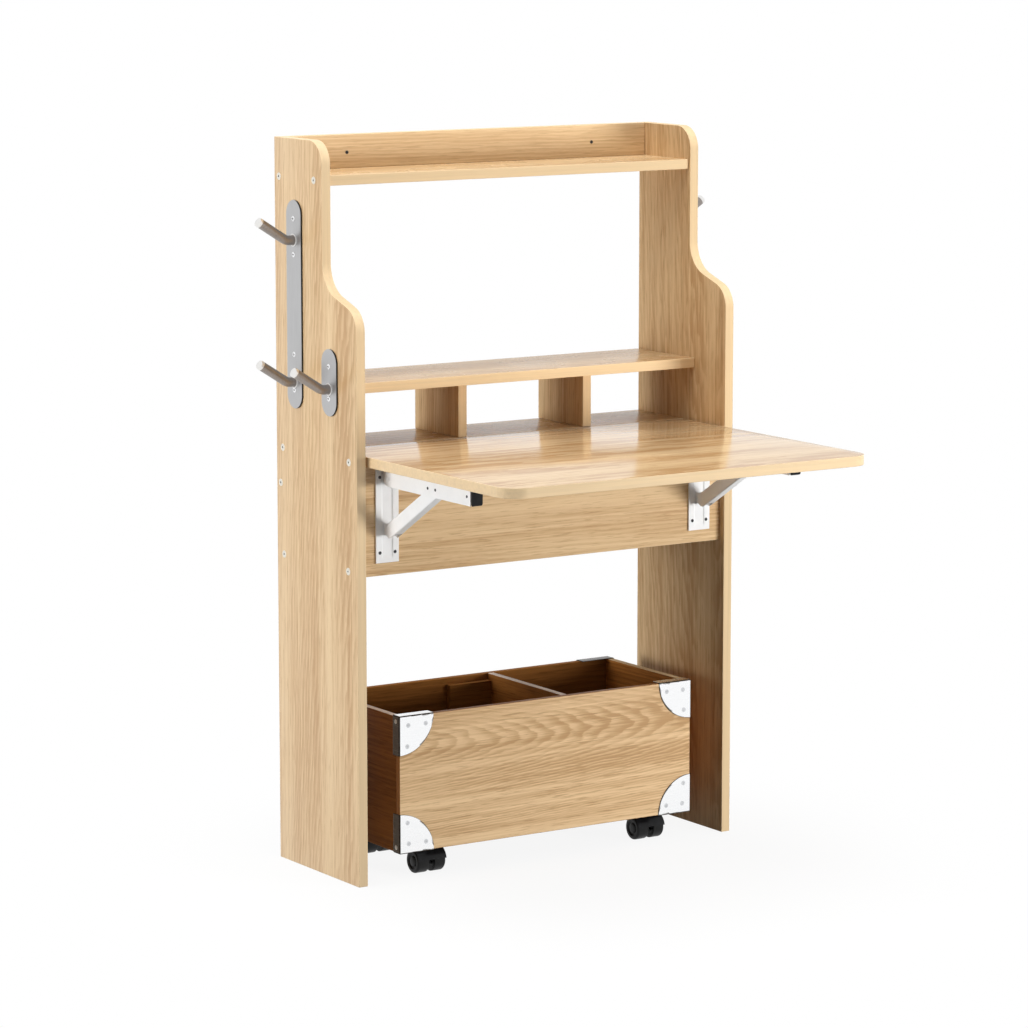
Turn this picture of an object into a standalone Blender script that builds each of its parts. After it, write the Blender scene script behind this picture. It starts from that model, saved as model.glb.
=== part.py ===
"""Fold-down desk with an open hutch, coat pegs on both sides and a roll-out storage cart.

Metres, +Z up. The user sits at -Y and the back of the frame is at +Y. The origin is on the
floor, under the middle of the whole desk with its desktop open. Distances named "ahead" are
measured forward from the back of the frame.
"""
import math

import bpy
import bmesh
from mathutils import Matrix, Vector

# Gaps
FIT = 0.0003                  # between two pieces that touch
PIN_PLAY = 0.0004             # around a pin in its hole
EDGE_ROUND = 0.001            # softened arris of every board

# Frame
BOARD = 0.018                 # thickness of the frame's boards
FRAME_WIDTH = 0.800
FRAME_HEIGHT = 1.300
PANEL_DEPTH = 0.278           # side panels, lower part
PANEL_UPPER_DEPTH = 0.164     # side panels beside the hutch's upper opening
PANEL_TOP_RADIUS = 0.042
STEP_DROP = 0.210             # below the top, where a panel's front edge starts to swing forward
STEP_HOLLOW_RADIUS = 0.060
STEP_SHOULDER_RADIUS = 0.045
STEP_SLOPE = math.radians(19)

# Shelves
TOP_RAIL_HEIGHT = 0.060       # top shelf below the tops of the panels
TOP_SHELF_SETBACK = 0.005
HUTCH_SHELF_DEPTH = 0.182
DESK_HEIGHT = 0.760
REAR_BOARD_DEPTH = 0.148
BAY_HEIGHT = 0.098            # clear height of the hutch bays
FIRST_BAY = 0.271             # clear widths of the hutch bays, from the left
SECOND_BAY = 0.250
APRON_SETBACK = 0.013
APRON_HEIGHT = 0.194

# Folding desktop
DESKTOP_DEPTH = 0.575
DESKTOP_SIDE_GAP = 0.005
DESKTOP_REAR_GAP = 0.002
DESKTOP_CORNER_RADIUS = 0.040

# Folding brackets
BRACKET_INSET = 0.049         # bracket centre from the inner face of a side panel
SHEET = 0.0016                # thickness of the bracket's pressed steel
LAYER_GAP = 0.0008            # between nested steel layers
LEG_WIDTH = 0.046
LEG_PLATE = 0.003
LEG_LENGTH = 0.167
LEG_TOP_GAP = 0.004           # below the desktop
PIVOT_STANDOFF = 0.0205       # both pivots ahead of the leg's plate
EAR_RADIUS = 0.010            # ear about its pivot
PIVOT_DROP = 0.020            # arm pivot below the desktop
PIN_RADIUS = 0.003
PIN_HEAD_RADIUS = 0.005
PIN_HEAD = 0.002
ARM_LENGTH = 0.2672           # arm pivot to the arm's open end
ARM_WIDTH = 0.0225
KNUCKLE_RADIUS = 0.0145       # arm below and behind its pivot
STRUT_DROP = 0.0924           # strut pivot below the arm pivot
STRUT_REACH = 0.143           # strut's upper pin ahead of the arm pivot, when open
STRUT_PIN_DROP = 0.008        # strut's upper pin below the arm pivot, when open
STRUT_HALF_DEPTH = 0.0125
STRUT_FLOOR_GAP = 0.0045      # strut's floor from the leg's ears
STRUT_TIP = 0.007             # strut past its upper pin
STRUT_TIP_RADIUS = 0.006

# Release levers
LEVER_PIVOT_AHEAD = 0.235     # ahead of the arm pivot
LEVER_RISE = 0.015            # above the arm pivot
LEVER_STRIP = 0.0016
LEVER_WIDTH = 0.012
LEVER_PIN_RADIUS = 0.0018
GRIP_LENGTH = 0.005
GRIP_WIDTH = 0.021
GRIP_TOP_RISE = 0.0172        # above the arm pivot
GRIP_BOTTOM_DROP = 0.015      # below the arm pivot
GRIP_TAPER = 0.0015           # lost at the tip, above and below

# Pegs
PLATE_WIDTH = 0.051
PLATE_SHEET = 0.003
LONG_PLATE_DROP = 0.107       # below the top of the panel
LONG_PLATE_LENGTH = 0.368
LONG_PLATE_AHEAD = 0.071
SHORT_PLATE_DROP = 0.034      # below the step in the panel's front edge
SHORT_PLATE_LENGTH = 0.118
SHORT_PLATE_AHEAD = 0.190
PEG_TOP_INSET = 0.071         # upper peg below the top of its plate
PEG_BOTTOM_INSET = 0.047      # lower and short pegs above the foot of their plates
PEG_RADIUS = 0.0085
PEG_STUB = 0.012              # straight run before the bend
PEG_BEND_RADIUS = 0.020
PEG_TILT = math.radians(32)
PEG_RUN = 0.0615              # straight run after the bend

# Cart
CART_SIDE_GAP = 0.0695        # between the cart and each side panel
CART_DEPTH = 0.270
CART_BOX_HEIGHT = 0.2456
CART_SETBACK = 0.006          # behind the front edges of the side panels
CART_WALL = 0.012
CART_LEFT_BAY = 0.337
CLEAT_WIDTH = 0.090
CLEAT_HEIGHT = 0.150
CLEAT_TOP_DROP = 0.012
GUARD_RADIUS = 0.070
GUARD_SHEET = 0.0012
GUARD_FLANGE = 0.020

# Casters
CASTER_SIDE_INSET = 0.0755    # stem from the cart's end
CASTER_FACE_INSET = 0.047     # stem from the cart's front or back
CASTER_PLATE = 0.040
CASTER_PLATE_SHEET = 0.0015
STEM_RADIUS = 0.004
COLLAR_RADIUS = 0.008
COLLAR_RISE = 0.0012          # collar above the fender
COLLAR_FLOOR = 0.001          # left under the stem
WHEEL_RADIUS = 0.0215
WHEEL_HUB_RADIUS = 0.0085
WHEEL_WIDTH = 0.0235
WHEEL_SPACE = 0.011           # between the twin wheels
WHEEL_ROUND = 0.003
AXLE_RADIUS = 0.003
CASTER_TRAIL = 0.012          # axle ahead of the stem
WEB_PLAY = 0.001              # housing to wheel, each side
WEB_RADIUS = 0.009
FENDER_GAP = 0.0009
FENDER_SHEET = 0.0012
FENDER_SPAN = (30, 170)       # degrees about the axle, from level at the rear
WEB_SPAN = (30, 160)

# Facets on round forms, and how points and edges are treated
ARC_STEPS = 8
BEND_STEPS = 5
PEG_RESOLUTION = 3
PIN_SIDES = 16
WHEEL_SIDES = 28
WELD = 0.00001                # points nearer than this are one
CRISP = math.radians(35)      # an edge that turns more than this stays sharp

# Worked out from the sizes above
OVERALL_DEPTH = REAR_BOARD_DEPTH + DESKTOP_REAR_GAP + DESKTOP_DEPTH
BACK_Y = OVERALL_DEPTH / 2
INNER = FRAME_WIDTH / 2 - BOARD
SHELF_END = INNER - FIT
STEP_TOP = FRAME_HEIGHT - STEP_DROP
STEP_RADII = STEP_HOLLOW_RADIUS + STEP_SHOULDER_RADIUS
STEP_RUN = PANEL_DEPTH - PANEL_UPPER_DEPTH - STEP_RADII * (1 - math.sin(STEP_SLOPE))
STEP_BOTTOM = STEP_TOP - STEP_RADII * math.cos(STEP_SLOPE) - STEP_RUN * math.tan(STEP_SLOPE)
TOP_SHELF_HEIGHT = FRAME_HEIGHT - TOP_RAIL_HEIGHT
HUTCH_SHELF_HEIGHT = DESK_HEIGHT + BAY_HEIGHT + BOARD
DESK_UNDERSIDE = DESK_HEIGHT - BOARD
APRON_BOTTOM = DESK_UNDERSIDE - APRON_HEIGHT
APRON_FRONT = PANEL_DEPTH - APRON_SETBACK
BRACKET_OFFSET = INNER - BRACKET_INSET
ARM_PIVOT_AHEAD = APRON_FRONT + FIT + LEG_PLATE + PIVOT_STANDOFF
ARM_PIVOT_HEIGHT = DESK_UNDERSIDE - PIVOT_DROP
ARM_WEB_HEIGHT = DESK_UNDERSIDE - FIT - SHEET
STRUT_PIVOT_HEIGHT = ARM_PIVOT_HEIGHT - STRUT_DROP
ARM_INNER = ARM_WIDTH / 2 - SHEET
STRUT_HALF_WIDTH = ARM_INNER - LAYER_GAP
EAR_OUTER = STRUT_HALF_WIDTH - SHEET - LAYER_GAP
EAR_INNER = EAR_OUTER - SHEET
CASTER_TOP = 2 * WHEEL_RADIUS + FENDER_GAP + FENDER_SHEET + COLLAR_RISE
COLLAR_BOTTOM = 2 * WHEEL_RADIUS + FENDER_GAP / 2
CART_END = INNER - CART_SIDE_GAP
CART_UNDERSIDE = CASTER_TOP + FIT + CASTER_PLATE_SHEET + FIT
CART_TOP = CART_UNDERSIDE + CART_BOX_HEIGHT
CART_FRONT = PANEL_DEPTH - CART_SETBACK
CART_BACK = CART_FRONT - CART_DEPTH

# Finishes: linear colour, roughness, metallic
OAK = ((0.66, 0.43, 0.20), 0.45, 0.0)
WALNUT = ((0.30, 0.16, 0.075), 0.5, 0.0)
WHITE_STEEL = ((0.83, 0.83, 0.84), 0.4, 0.0)
GREY_STEEL = ((0.42, 0.43, 0.45), 0.35, 0.9)
BRIGHT_STEEL = ((0.55, 0.53, 0.50), 0.3, 1.0)
BLACK_PLASTIC = ((0.012, 0.012, 0.013), 0.45, 0.0)

# A drawing plane for each axis that an outline is pushed along
DRAWING = {
    "X": Matrix(((0, 0, 1, 0), (1, 0, 0, 0), (0, 1, 0, 0), (0, 0, 0, 1))),
    "Y": Matrix(((1, 0, 0, 0), (0, 0, -1, 0), (0, 1, 0, 0), (0, 0, 0, 1))),
    "Z": Matrix.Identity(4),
}


def ahead(distance):
    """The Y of a point that lies a distance forward of the back of the frame."""
    return BACK_Y - distance


def clear_scene():
    for obj in list(bpy.data.objects):
        bpy.data.objects.remove(obj)


def new_collection(name):
    collection = bpy.data.collections.new(name)
    bpy.context.scene.collection.children.link(collection)
    return collection


def finish(name, obj, look):
    """Names a finished piece, files it with the desk's parts and gives it its own material."""
    obj.name = name
    obj.data.name = name
    for collection in list(obj.users_collection):
        collection.objects.unlink(obj)
    bpy.data.collections["fold_down_desk"].objects.link(obj)
    colour, roughness, metallic = look
    material = bpy.data.materials.new(name + "_finish")
    material.use_nodes = True
    shader = material.node_tree.nodes["Principled BSDF"]
    shader.inputs["Base Color"].default_value = (*colour, 1.0)
    shader.inputs["Roughness"].default_value = roughness
    shader.inputs["Metallic"].default_value = metallic
    obj.data.materials.clear()
    obj.data.materials.append(material)
    return obj


def loose(mesh):
    """A new unfiled object around a mesh."""
    obj = bpy.data.objects.new("shape", mesh)
    bpy.context.scene.collection.objects.link(obj)
    return obj


def evaluated_mesh(obj):
    """The mesh of an object with its modifiers, in world space, welded and facing out."""
    bpy.context.view_layer.update()
    graph = bpy.context.evaluated_depsgraph_get()
    mesh = bpy.data.meshes.new_from_object(obj.evaluated_get(graph))
    mesh.transform(obj.matrix_world)
    form = bmesh.new()
    form.from_mesh(mesh)
    bmesh.ops.remove_doubles(form, verts=form.verts, dist=WELD)
    bmesh.ops.recalc_face_normals(form, faces=form.faces)
    form.to_mesh(mesh)
    form.free()
    return mesh


def box(corner, opposite):
    """A block between any two opposite corners."""
    form = bmesh.new()
    bmesh.ops.create_cube(form, size=1.0)
    corner, opposite = Vector(corner), Vector(opposite)
    size = [abs(span) for span in opposite - corner]
    bmesh.ops.scale(form, vec=size, verts=form.verts)
    bmesh.ops.translate(form, vec=(corner + opposite) / 2, verts=form.verts)
    mesh = bpy.data.meshes.new("block")
    form.to_mesh(mesh)
    form.free()
    return loose(mesh)


def rod(axis, centre, radius, length):
    """A straight round bar along X, Y or Z."""
    form = bmesh.new()
    bmesh.ops.create_cone(form, cap_ends=True, segments=PIN_SIDES,
                          radius1=radius, radius2=radius, depth=length)
    bmesh.ops.transform(form, matrix=Matrix.Translation(centre) @ DRAWING[axis], verts=form.verts)
    mesh = bpy.data.meshes.new("rod")
    form.to_mesh(mesh)
    form.free()
    return loose(mesh)


def prism(outline, axis, start, end):
    """A flat closed outline pushed along X, Y or Z from start to end."""
    curve = bpy.data.curves.new("outline", "CURVE")
    curve.dimensions = "2D"
    curve.fill_mode = "BOTH"
    curve.extrude = (end - start) / 2
    spline = curve.splines.new("POLY")
    spline.points.add(len(outline) - 1)
    for point, (u, v) in zip(spline.points, outline):
        point.co = (u, v, 0, 1)
    spline.use_cyclic_u = True
    drawn = loose(curve)
    middle = {"X": (1, 0, 0), "Y": (0, 1, 0), "Z": (0, 0, 1)}[axis]
    drawn.matrix_world = Matrix.Translation(Vector(middle) * (start + end) / 2) @ DRAWING[axis]
    solid = loose(evaluated_mesh(drawn))
    bpy.data.objects.remove(drawn)
    return solid


def arc(centre, radius, start, end, steps=ARC_STEPS):
    """Points on a circle from one angle to another, in degrees."""
    angles = [math.radians(start + (end - start) * i / steps) for i in range(steps + 1)]
    return [(centre[0] + radius * math.cos(a), centre[1] + radius * math.sin(a)) for a in angles]


def rounded_rectangle(left, bottom, right, top, radius):
    return (arc((right - radius, bottom + radius), radius, -90, 0)
            + arc((right - radius, top - radius), radius, 0, 90)
            + arc((left + radius, top - radius), radius, 90, 180)
            + arc((left + radius, bottom + radius), radius, 180, 270))


def combine(body, tool, operation):
    """Joins a tool shape to a body, or cuts it away, and removes the tool."""
    step = body.modifiers.new(operation.lower(), "BOOLEAN")
    step.operation = operation
    step.solver = "MANIFOLD"
    step.object = tool
    mesh = evaluated_mesh(body)
    body.modifiers.clear()
    body.data = mesh
    bpy.data.objects.remove(tool)
    return body


def join(body, *tools):
    for tool in tools:
        combine(body, tool, "UNION")
    return body


def cut(body, *tools):
    for tool in tools:
        combine(body, tool, "DIFFERENCE")
    return body


def soften(obj, width=EDGE_ROUND):
    """A small chamfer along every sharp edge."""
    bevel = obj.modifiers.new("softened_edges", "BEVEL")
    bevel.width = width
    bevel.segments = 1
    return obj


def smooth(obj):
    obj.data.shade_smooth()
    obj.data.set_sharp_from_angle(angle=CRISP)
    return obj


def world_place(obj):
    place = Vector(obj.location)
    while obj.parent:
        obj = obj.parent
        place += obj.location
    return place


def pivot(name, at, parent=None):
    """An empty on a joint's axis, which carries the pieces that move there."""
    empty = bpy.data.objects.new(name, None)
    empty.empty_display_size = 0.02
    bpy.data.collections["fold_down_desk"].objects.link(empty)
    empty.parent = parent
    empty.location = Vector(at) - (world_place(parent) if parent else Vector())
    return empty


def hang(obj, parent):
    """Carries a piece on a pivot: its origin goes to the pivot and its shape stays in place."""
    at = world_place(parent)
    obj.data.transform(Matrix.Translation(-at))
    obj.parent = parent
    return obj


def board(name, low, high, look=OAK):
    return finish(name, soften(box(low, high)), look)


def side_panel(name, side):
    """An upright whose front edge is round at the top and swings forward below the hutch opening."""
    slope = math.degrees(STEP_SLOPE)
    hollow = (ahead(PANEL_UPPER_DEPTH + STEP_HOLLOW_RADIUS), STEP_TOP)
    shoulder = (ahead(PANEL_DEPTH - STEP_SHOULDER_RADIUS), STEP_BOTTOM)
    crown = (ahead(PANEL_UPPER_DEPTH - PANEL_TOP_RADIUS), FRAME_HEIGHT - PANEL_TOP_RADIUS)
    outline = [(ahead(0), 0), (ahead(0), FRAME_HEIGHT)]
    outline += arc(crown, PANEL_TOP_RADIUS, 90, 180)
    outline += arc(hollow, STEP_HOLLOW_RADIUS, 0, slope - 90)
    outline += arc(shoulder, STEP_SHOULDER_RADIUS, 90 + slope, 180)
    outline += [(ahead(PANEL_DEPTH), 0)]
    inner, outer = sorted((side * INNER, side * FRAME_WIDTH / 2))
    return finish(name, soften(prism(outline, "X", inner, outer)), OAK)


def shelf(name, top, depth, back=0.0):
    """A level board between the side panels."""
    return board(name, (-SHELF_END, ahead(depth), top - BOARD), (SHELF_END, ahead(back), top))


def build_frame():
    for name, side in (("left_side_panel", -1), ("right_side_panel", 1)):
        side_panel(name, side)
    shelf("top_shelf", TOP_SHELF_HEIGHT, PANEL_UPPER_DEPTH - TOP_SHELF_SETBACK)
    board("top_back_rail", (-SHELF_END, ahead(BOARD), TOP_SHELF_HEIGHT + FIT),
          (SHELF_END, ahead(0), FRAME_HEIGHT))
    shelf("hutch_shelf", HUTCH_SHELF_HEIGHT, HUTCH_SHELF_DEPTH)
    shelf("rear_desk_board", DESK_HEIGHT, REAR_BOARD_DEPTH)
    left = -INNER + FIRST_BAY
    for name in ("left_hutch_divider", "right_hutch_divider"):
        board(name, (left, ahead(REAR_BOARD_DEPTH), DESK_HEIGHT + FIT),
              (left + BOARD, ahead(0), HUTCH_SHELF_HEIGHT - BOARD - FIT))
        left += BOARD + SECOND_BAY
    board("front_apron", (-SHELF_END, ahead(APRON_FRONT), APRON_BOTTOM),
          (SHELF_END, ahead(APRON_FRONT - BOARD), DESK_UNDERSIDE - FIT))
    shelf("compartment_floor", APRON_BOTTOM + BOARD, APRON_FRONT - BOARD - FIT)
    board("back_stretcher", (-SHELF_END, ahead(BOARD), APRON_BOTTOM + BOARD + FIT),
          (SHELF_END, ahead(0), DESK_UNDERSIDE - FIT))


def peg_plate(name, side, place, top, length, pegs):
    """A steel strip with round ends, bored for its pegs, on the outer face of a side panel."""
    face = FRAME_WIDTH / 2 + FIT
    inner, outer = sorted((side * face, side * (face + PLATE_SHEET)))
    middle = ahead(place)
    radius = PLATE_WIDTH / 2
    outline = (arc((middle, top - radius), radius, 0, 180)
               + arc((middle, top - length + radius), radius, 180, 360))
    plate = prism(outline, "X", inner, outer)
    for height in pegs:
        bore = rod("X", (side * face, middle, height), PEG_RADIUS + PIN_PLAY, 4 * PLATE_SHEET)
        cut(plate, bore)
    return finish(name, plate, GREY_STEEL)


def peg(name, side, place, height):
    """A round bar that leaves its plate level, bends and rises outward."""
    route = [(0, 0)]
    bend = (PEG_STUB, PEG_BEND_RADIUS)
    route += arc(bend, PEG_BEND_RADIUS, -90, -90 + math.degrees(PEG_TILT), BEND_STEPS)
    last = route[-1]
    route.append((last[0] + PEG_RUN * math.cos(PEG_TILT), last[1] + PEG_RUN * math.sin(PEG_TILT)))
    curve = bpy.data.curves.new(name, "CURVE")
    curve.dimensions = "3D"
    curve.bevel_depth = PEG_RADIUS
    curve.bevel_resolution = PEG_RESOLUTION
    curve.use_fill_caps = True
    spline = curve.splines.new("POLY")
    spline.points.add(len(route) - 1)
    start = FRAME_WIDTH / 2 + FIT * 2
    for point, (out, up) in zip(spline.points, route):
        point.co = (side * (start + out), ahead(place), height + up, 1)
    drawn = loose(curve)
    bar = loose(evaluated_mesh(drawn))
    bpy.data.objects.remove(drawn)
    return finish(name, smooth(bar), BRIGHT_STEEL)


def build_pegs():
    long_top = FRAME_HEIGHT - LONG_PLATE_DROP
    upper = long_top - PEG_TOP_INSET
    lower = long_top - LONG_PLATE_LENGTH + PEG_BOTTOM_INSET
    for word, side in (("left", -1), ("right", 1)):
        peg_plate(word + "_long_peg_plate", side, LONG_PLATE_AHEAD,
                  long_top, LONG_PLATE_LENGTH, (lower, upper))
        peg(word + "_upper_peg", side, LONG_PLATE_AHEAD, upper)
        peg(word + "_lower_peg", side, LONG_PLATE_AHEAD, lower)
    short_top = STEP_BOTTOM - SHORT_PLATE_DROP
    single = short_top - SHORT_PLATE_LENGTH + PEG_BOTTOM_INSET
    peg_plate("left_short_peg_plate", -1, SHORT_PLATE_AHEAD, short_top, SHORT_PLATE_LENGTH, (single,))
    peg("left_short_peg", -1, SHORT_PLATE_AHEAD, single)


def bracket_leg(name, centre):
    """A plate on the apron with a pair of ears for each pin that the arm and the strut turn on."""
    back = APRON_FRONT + FIT
    front = back + LEG_PLATE
    leg_top = DESK_UNDERSIDE - LEG_TOP_GAP
    leg = box((centre - LEG_WIDTH / 2, ahead(front), leg_top - LEG_LENGTH),
              (centre + LEG_WIDTH / 2, ahead(back), leg_top))
    root = ahead(front - LEG_PLATE / 2)
    arm_place = (centre, ahead(ARM_PIVOT_AHEAD), ARM_PIVOT_HEIGHT)
    strut_place = (centre, ahead(ARM_PIVOT_AHEAD), STRUT_PIVOT_HEIGHT)
    reach = ARM_WIDTH / 2 + FIT
    arm_pin = rod("X", arm_place, PIN_RADIUS, 2 * reach + PIN_HEAD)
    for side in (-1, 1):
        head = (centre + side * (reach + PIN_HEAD / 2), arm_place[1], arm_place[2])
        join(arm_pin, rod("X", head, PIN_HEAD_RADIUS, PIN_HEAD))
    strut_pin = rod("X", strut_place, PIN_RADIUS, 2 * STRUT_HALF_WIDTH + LAYER_GAP / 2)
    for place, pin in ((arm_place, arm_pin), (strut_place, strut_pin)):
        ear = [(root, place[2] + EAR_RADIUS), (root, place[2] - EAR_RADIUS)]
        ear += arc(place[1:], EAR_RADIUS, 270, 90)
        for side in (-1, 1):
            inner, outer = sorted((centre + side * EAR_INNER, centre + side * EAR_OUTER))
            join(pin, prism(ear, "X", inner, outer))
        join(leg, pin)
    return finish(name, leg, WHITE_STEEL)


def bracket_arm(name, centre):
    """An inverted channel under the desktop, round about its pivot and open at its far end."""
    middle = ahead(ARM_PIVOT_AHEAD)
    top = DESK_UNDERSIDE - FIT
    low = ARM_PIVOT_HEIGHT - KNUCKLE_RADIUS
    end = ahead(ARM_PIVOT_AHEAD + ARM_LENGTH)
    back = middle + KNUCKLE_RADIUS
    outline = [(back, top), (end, top), (end, low)]
    outline += arc((middle, ARM_PIVOT_HEIGHT), KNUCKLE_RADIUS, 270, 360)
    arm = prism(outline, "X", centre - ARM_WIDTH / 2, centre + ARM_WIDTH / 2)
    cut(arm, box((centre - ARM_INNER, end - BOARD, low - BOARD),
                 (centre + ARM_INNER, back + BOARD, ARM_WEB_HEIGHT)))
    cut(arm, rod("X", (centre, middle, ARM_PIVOT_HEIGHT), PIN_RADIUS + PIN_PLAY, 2 * ARM_WIDTH))
    return finish(name, arm, WHITE_STEEL)


def strut(name, centre):
    """A channel bar that props the arm: round about its lower pin, and blunt past its upper one."""
    climb = STRUT_DROP - STRUT_PIN_DROP
    length = math.hypot(STRUT_REACH, climb)
    rise = math.degrees(math.atan2(climb, STRUT_REACH))
    end = length + STRUT_TIP - STRUT_TIP_RADIUS
    side = STRUT_HALF_DEPTH - STRUT_TIP_RADIUS
    outline = arc((0, 0), STRUT_HALF_DEPTH, 90, 270)
    outline += arc((end, -side), STRUT_TIP_RADIUS, -90, 0) + arc((end, side), STRUT_TIP_RADIUS, 0, 90)
    bar = prism(outline, "X", -STRUT_HALF_WIDTH, STRUT_HALF_WIDTH)
    room = STRUT_HALF_WIDTH - SHEET
    floor = -STRUT_HALF_DEPTH + SHEET
    past = 2 * STRUT_HALF_DEPTH
    cut(bar, box((-room, -past, floor), (room, length + past, past)))
    cut(bar, box((-room, -past, -past), (room, EAR_RADIUS + STRUT_FLOOR_GAP, past)))
    cut(bar, rod("X", (0, 0, 0), PIN_RADIUS + PIN_PLAY, 4 * STRUT_HALF_WIDTH))
    join(bar, rod("X", (0, length, 0), PIN_RADIUS, 2 * STRUT_HALF_WIDTH + LAYER_GAP / 2))
    turn = Matrix.Rotation(math.radians(180), 4, "Z") @ Matrix.Rotation(math.radians(rise), 4, "X")
    bar.data.transform(Matrix.Translation((centre, ahead(ARM_PIVOT_AHEAD), STRUT_PIVOT_HEIGHT)) @ turn)
    return finish(name, bar, WHITE_STEEL)


def release_lever(name, centre):
    """A thin strip on a cross pin inside the arm, with a tapered hand grip past the arm's end."""
    hinge = ARM_PIVOT_AHEAD + LEVER_PIVOT_AHEAD
    height = ARM_PIVOT_HEIGHT + LEVER_RISE
    near = ARM_PIVOT_AHEAD + ARM_LENGTH + LAYER_GAP
    far = near + GRIP_LENGTH
    lever = rod("X", (centre, ahead(hinge), height), LEVER_PIN_RADIUS, 2 * (ARM_INNER - FIT))
    strip = box((centre - LEVER_WIDTH / 2, ahead(near + LAYER_GAP), height - LEVER_STRIP / 2),
                (centre + LEVER_WIDTH / 2, ahead(hinge), height + LEVER_STRIP / 2))
    top = ARM_PIVOT_HEIGHT + GRIP_TOP_RISE
    low = ARM_PIVOT_HEIGHT - GRIP_BOTTOM_DROP
    grip = [(ahead(near), low), (ahead(near), top),
            (ahead(far), top - GRIP_TAPER), (ahead(far), low + GRIP_TAPER)]
    join(lever, strip, prism(grip, "X", centre - GRIP_WIDTH / 2, centre + GRIP_WIDTH / 2))
    return finish(name, lever, BLACK_PLASTIC)


def build_desktop():
    half = INNER - DESKTOP_SIDE_GAP
    rear = REAR_BOARD_DEPTH + DESKTOP_REAR_GAP
    front = rear + DESKTOP_DEPTH
    outline = rounded_rectangle(-half, ahead(front), half, ahead(rear), DESKTOP_CORNER_RADIUS)
    top = soften(prism(outline, "Z", DESK_UNDERSIDE, DESK_HEIGHT))
    fold = pivot("desktop_fold_axis", (0, ahead(ARM_PIVOT_AHEAD), ARM_PIVOT_HEIGHT))
    hang(finish("desktop", top, OAK), fold)
    for word, side in (("left", -1), ("right", 1)):
        centre = side * BRACKET_OFFSET
        bracket_leg(word + "_bracket_leg", centre)
        hang(bracket_arm(word + "_bracket_arm", centre), fold)
        prop = pivot(word + "_strut_axis", (centre, ahead(ARM_PIVOT_AHEAD), STRUT_PIVOT_HEIGHT))
        hang(strut(word + "_bracket_strut", centre), prop)
        hinge = (centre, ahead(ARM_PIVOT_AHEAD + LEVER_PIVOT_AHEAD), ARM_PIVOT_HEIGHT + LEVER_RISE)
        release = pivot(word + "_lever_axis", hinge, fold)
        hang(release_lever(word + "_release_lever", centre), release)


def corner_guard(name, side, face, level):
    """A pressed steel box corner: a quarter disc on the cart's face, and strips round its end and edge."""
    skin = CART_FRONT if face > 0 else CART_BACK
    corner = CART_TOP if level > 0 else CART_UNDERSIDE
    tip = Vector((side * CART_END, ahead(skin), corner))
    outward = Vector((side, -face, level))
    covered = Vector((side * GUARD_RADIUS, -face * GUARD_FLANGE, level * GUARD_RADIUS))
    spare = 2 * GUARD_RADIUS
    guard = box(tip + (FIT + GUARD_SHEET) * outward, tip - covered)
    cut(guard, box(tip + FIT * outward, tip - spare * outward))
    waste = arc((CART_END, 0), GUARD_RADIUS, 270, 180)
    waste += [(CART_END - spare, 0), (CART_END - spare, -spare), (CART_END, -spare)]
    waste = [(side * u, corner + level * v) for u, v in waste]
    cut(guard, prism(waste, "Y", tip.y - spare, tip.y + spare))
    return finish(name, guard, WHITE_STEEL)


def caster_plate(name, stem):
    """A square plate under the cart's floor, with the stem that the housing swivels on."""
    low = CASTER_TOP + FIT
    half = CASTER_PLATE / 2
    plate = box((stem.x - half, stem.y - half, low),
                (stem.x + half, stem.y + half, low + CASTER_PLATE_SHEET))
    foot = COLLAR_BOTTOM + COLLAR_FLOOR + PIN_PLAY
    top = low + CASTER_PLATE_SHEET / 2
    join(plate, rod("Z", (stem.x, stem.y, (foot + top) / 2), STEM_RADIUS, top - foot))
    return finish(name, plate, GREY_STEEL)


def caster_yoke():
    """The swivelling housing about a stem at the origin: collar, web between the wheels, fender."""
    axle = (-CASTER_TRAIL, WHEEL_RADIUS)
    web = WHEEL_SPACE / 2 - WEB_PLAY
    fender_in = WHEEL_RADIUS + FENDER_GAP
    fender_out = fender_in + FENDER_SHEET
    side = arc(axle, WEB_RADIUS, 180, 360) + arc(axle, fender_in + FENDER_SHEET / 2, *WEB_SPAN)
    body = prism(side, "X", -web, web)
    hood = arc(axle, fender_out, *FENDER_SPAN) + arc(axle, fender_in, *reversed(FENDER_SPAN))
    width = WHEEL_SPACE / 2 + WHEEL_WIDTH
    join(body, prism(hood, "X", -width, width))
    collar_height = CASTER_TOP - COLLAR_BOTTOM
    join(body, rod("Z", (0, 0, COLLAR_BOTTOM + collar_height / 2), COLLAR_RADIUS, collar_height))
    socket = CASTER_TOP - COLLAR_BOTTOM - COLLAR_FLOOR
    cut(body, rod("Z", (0, 0, CASTER_TOP), STEM_RADIUS + PIN_PLAY, 2 * socket))
    cut(body, rod("X", (0, *axle), AXLE_RADIUS + PIN_PLAY, 4 * WHEEL_SPACE))
    return body


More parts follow.
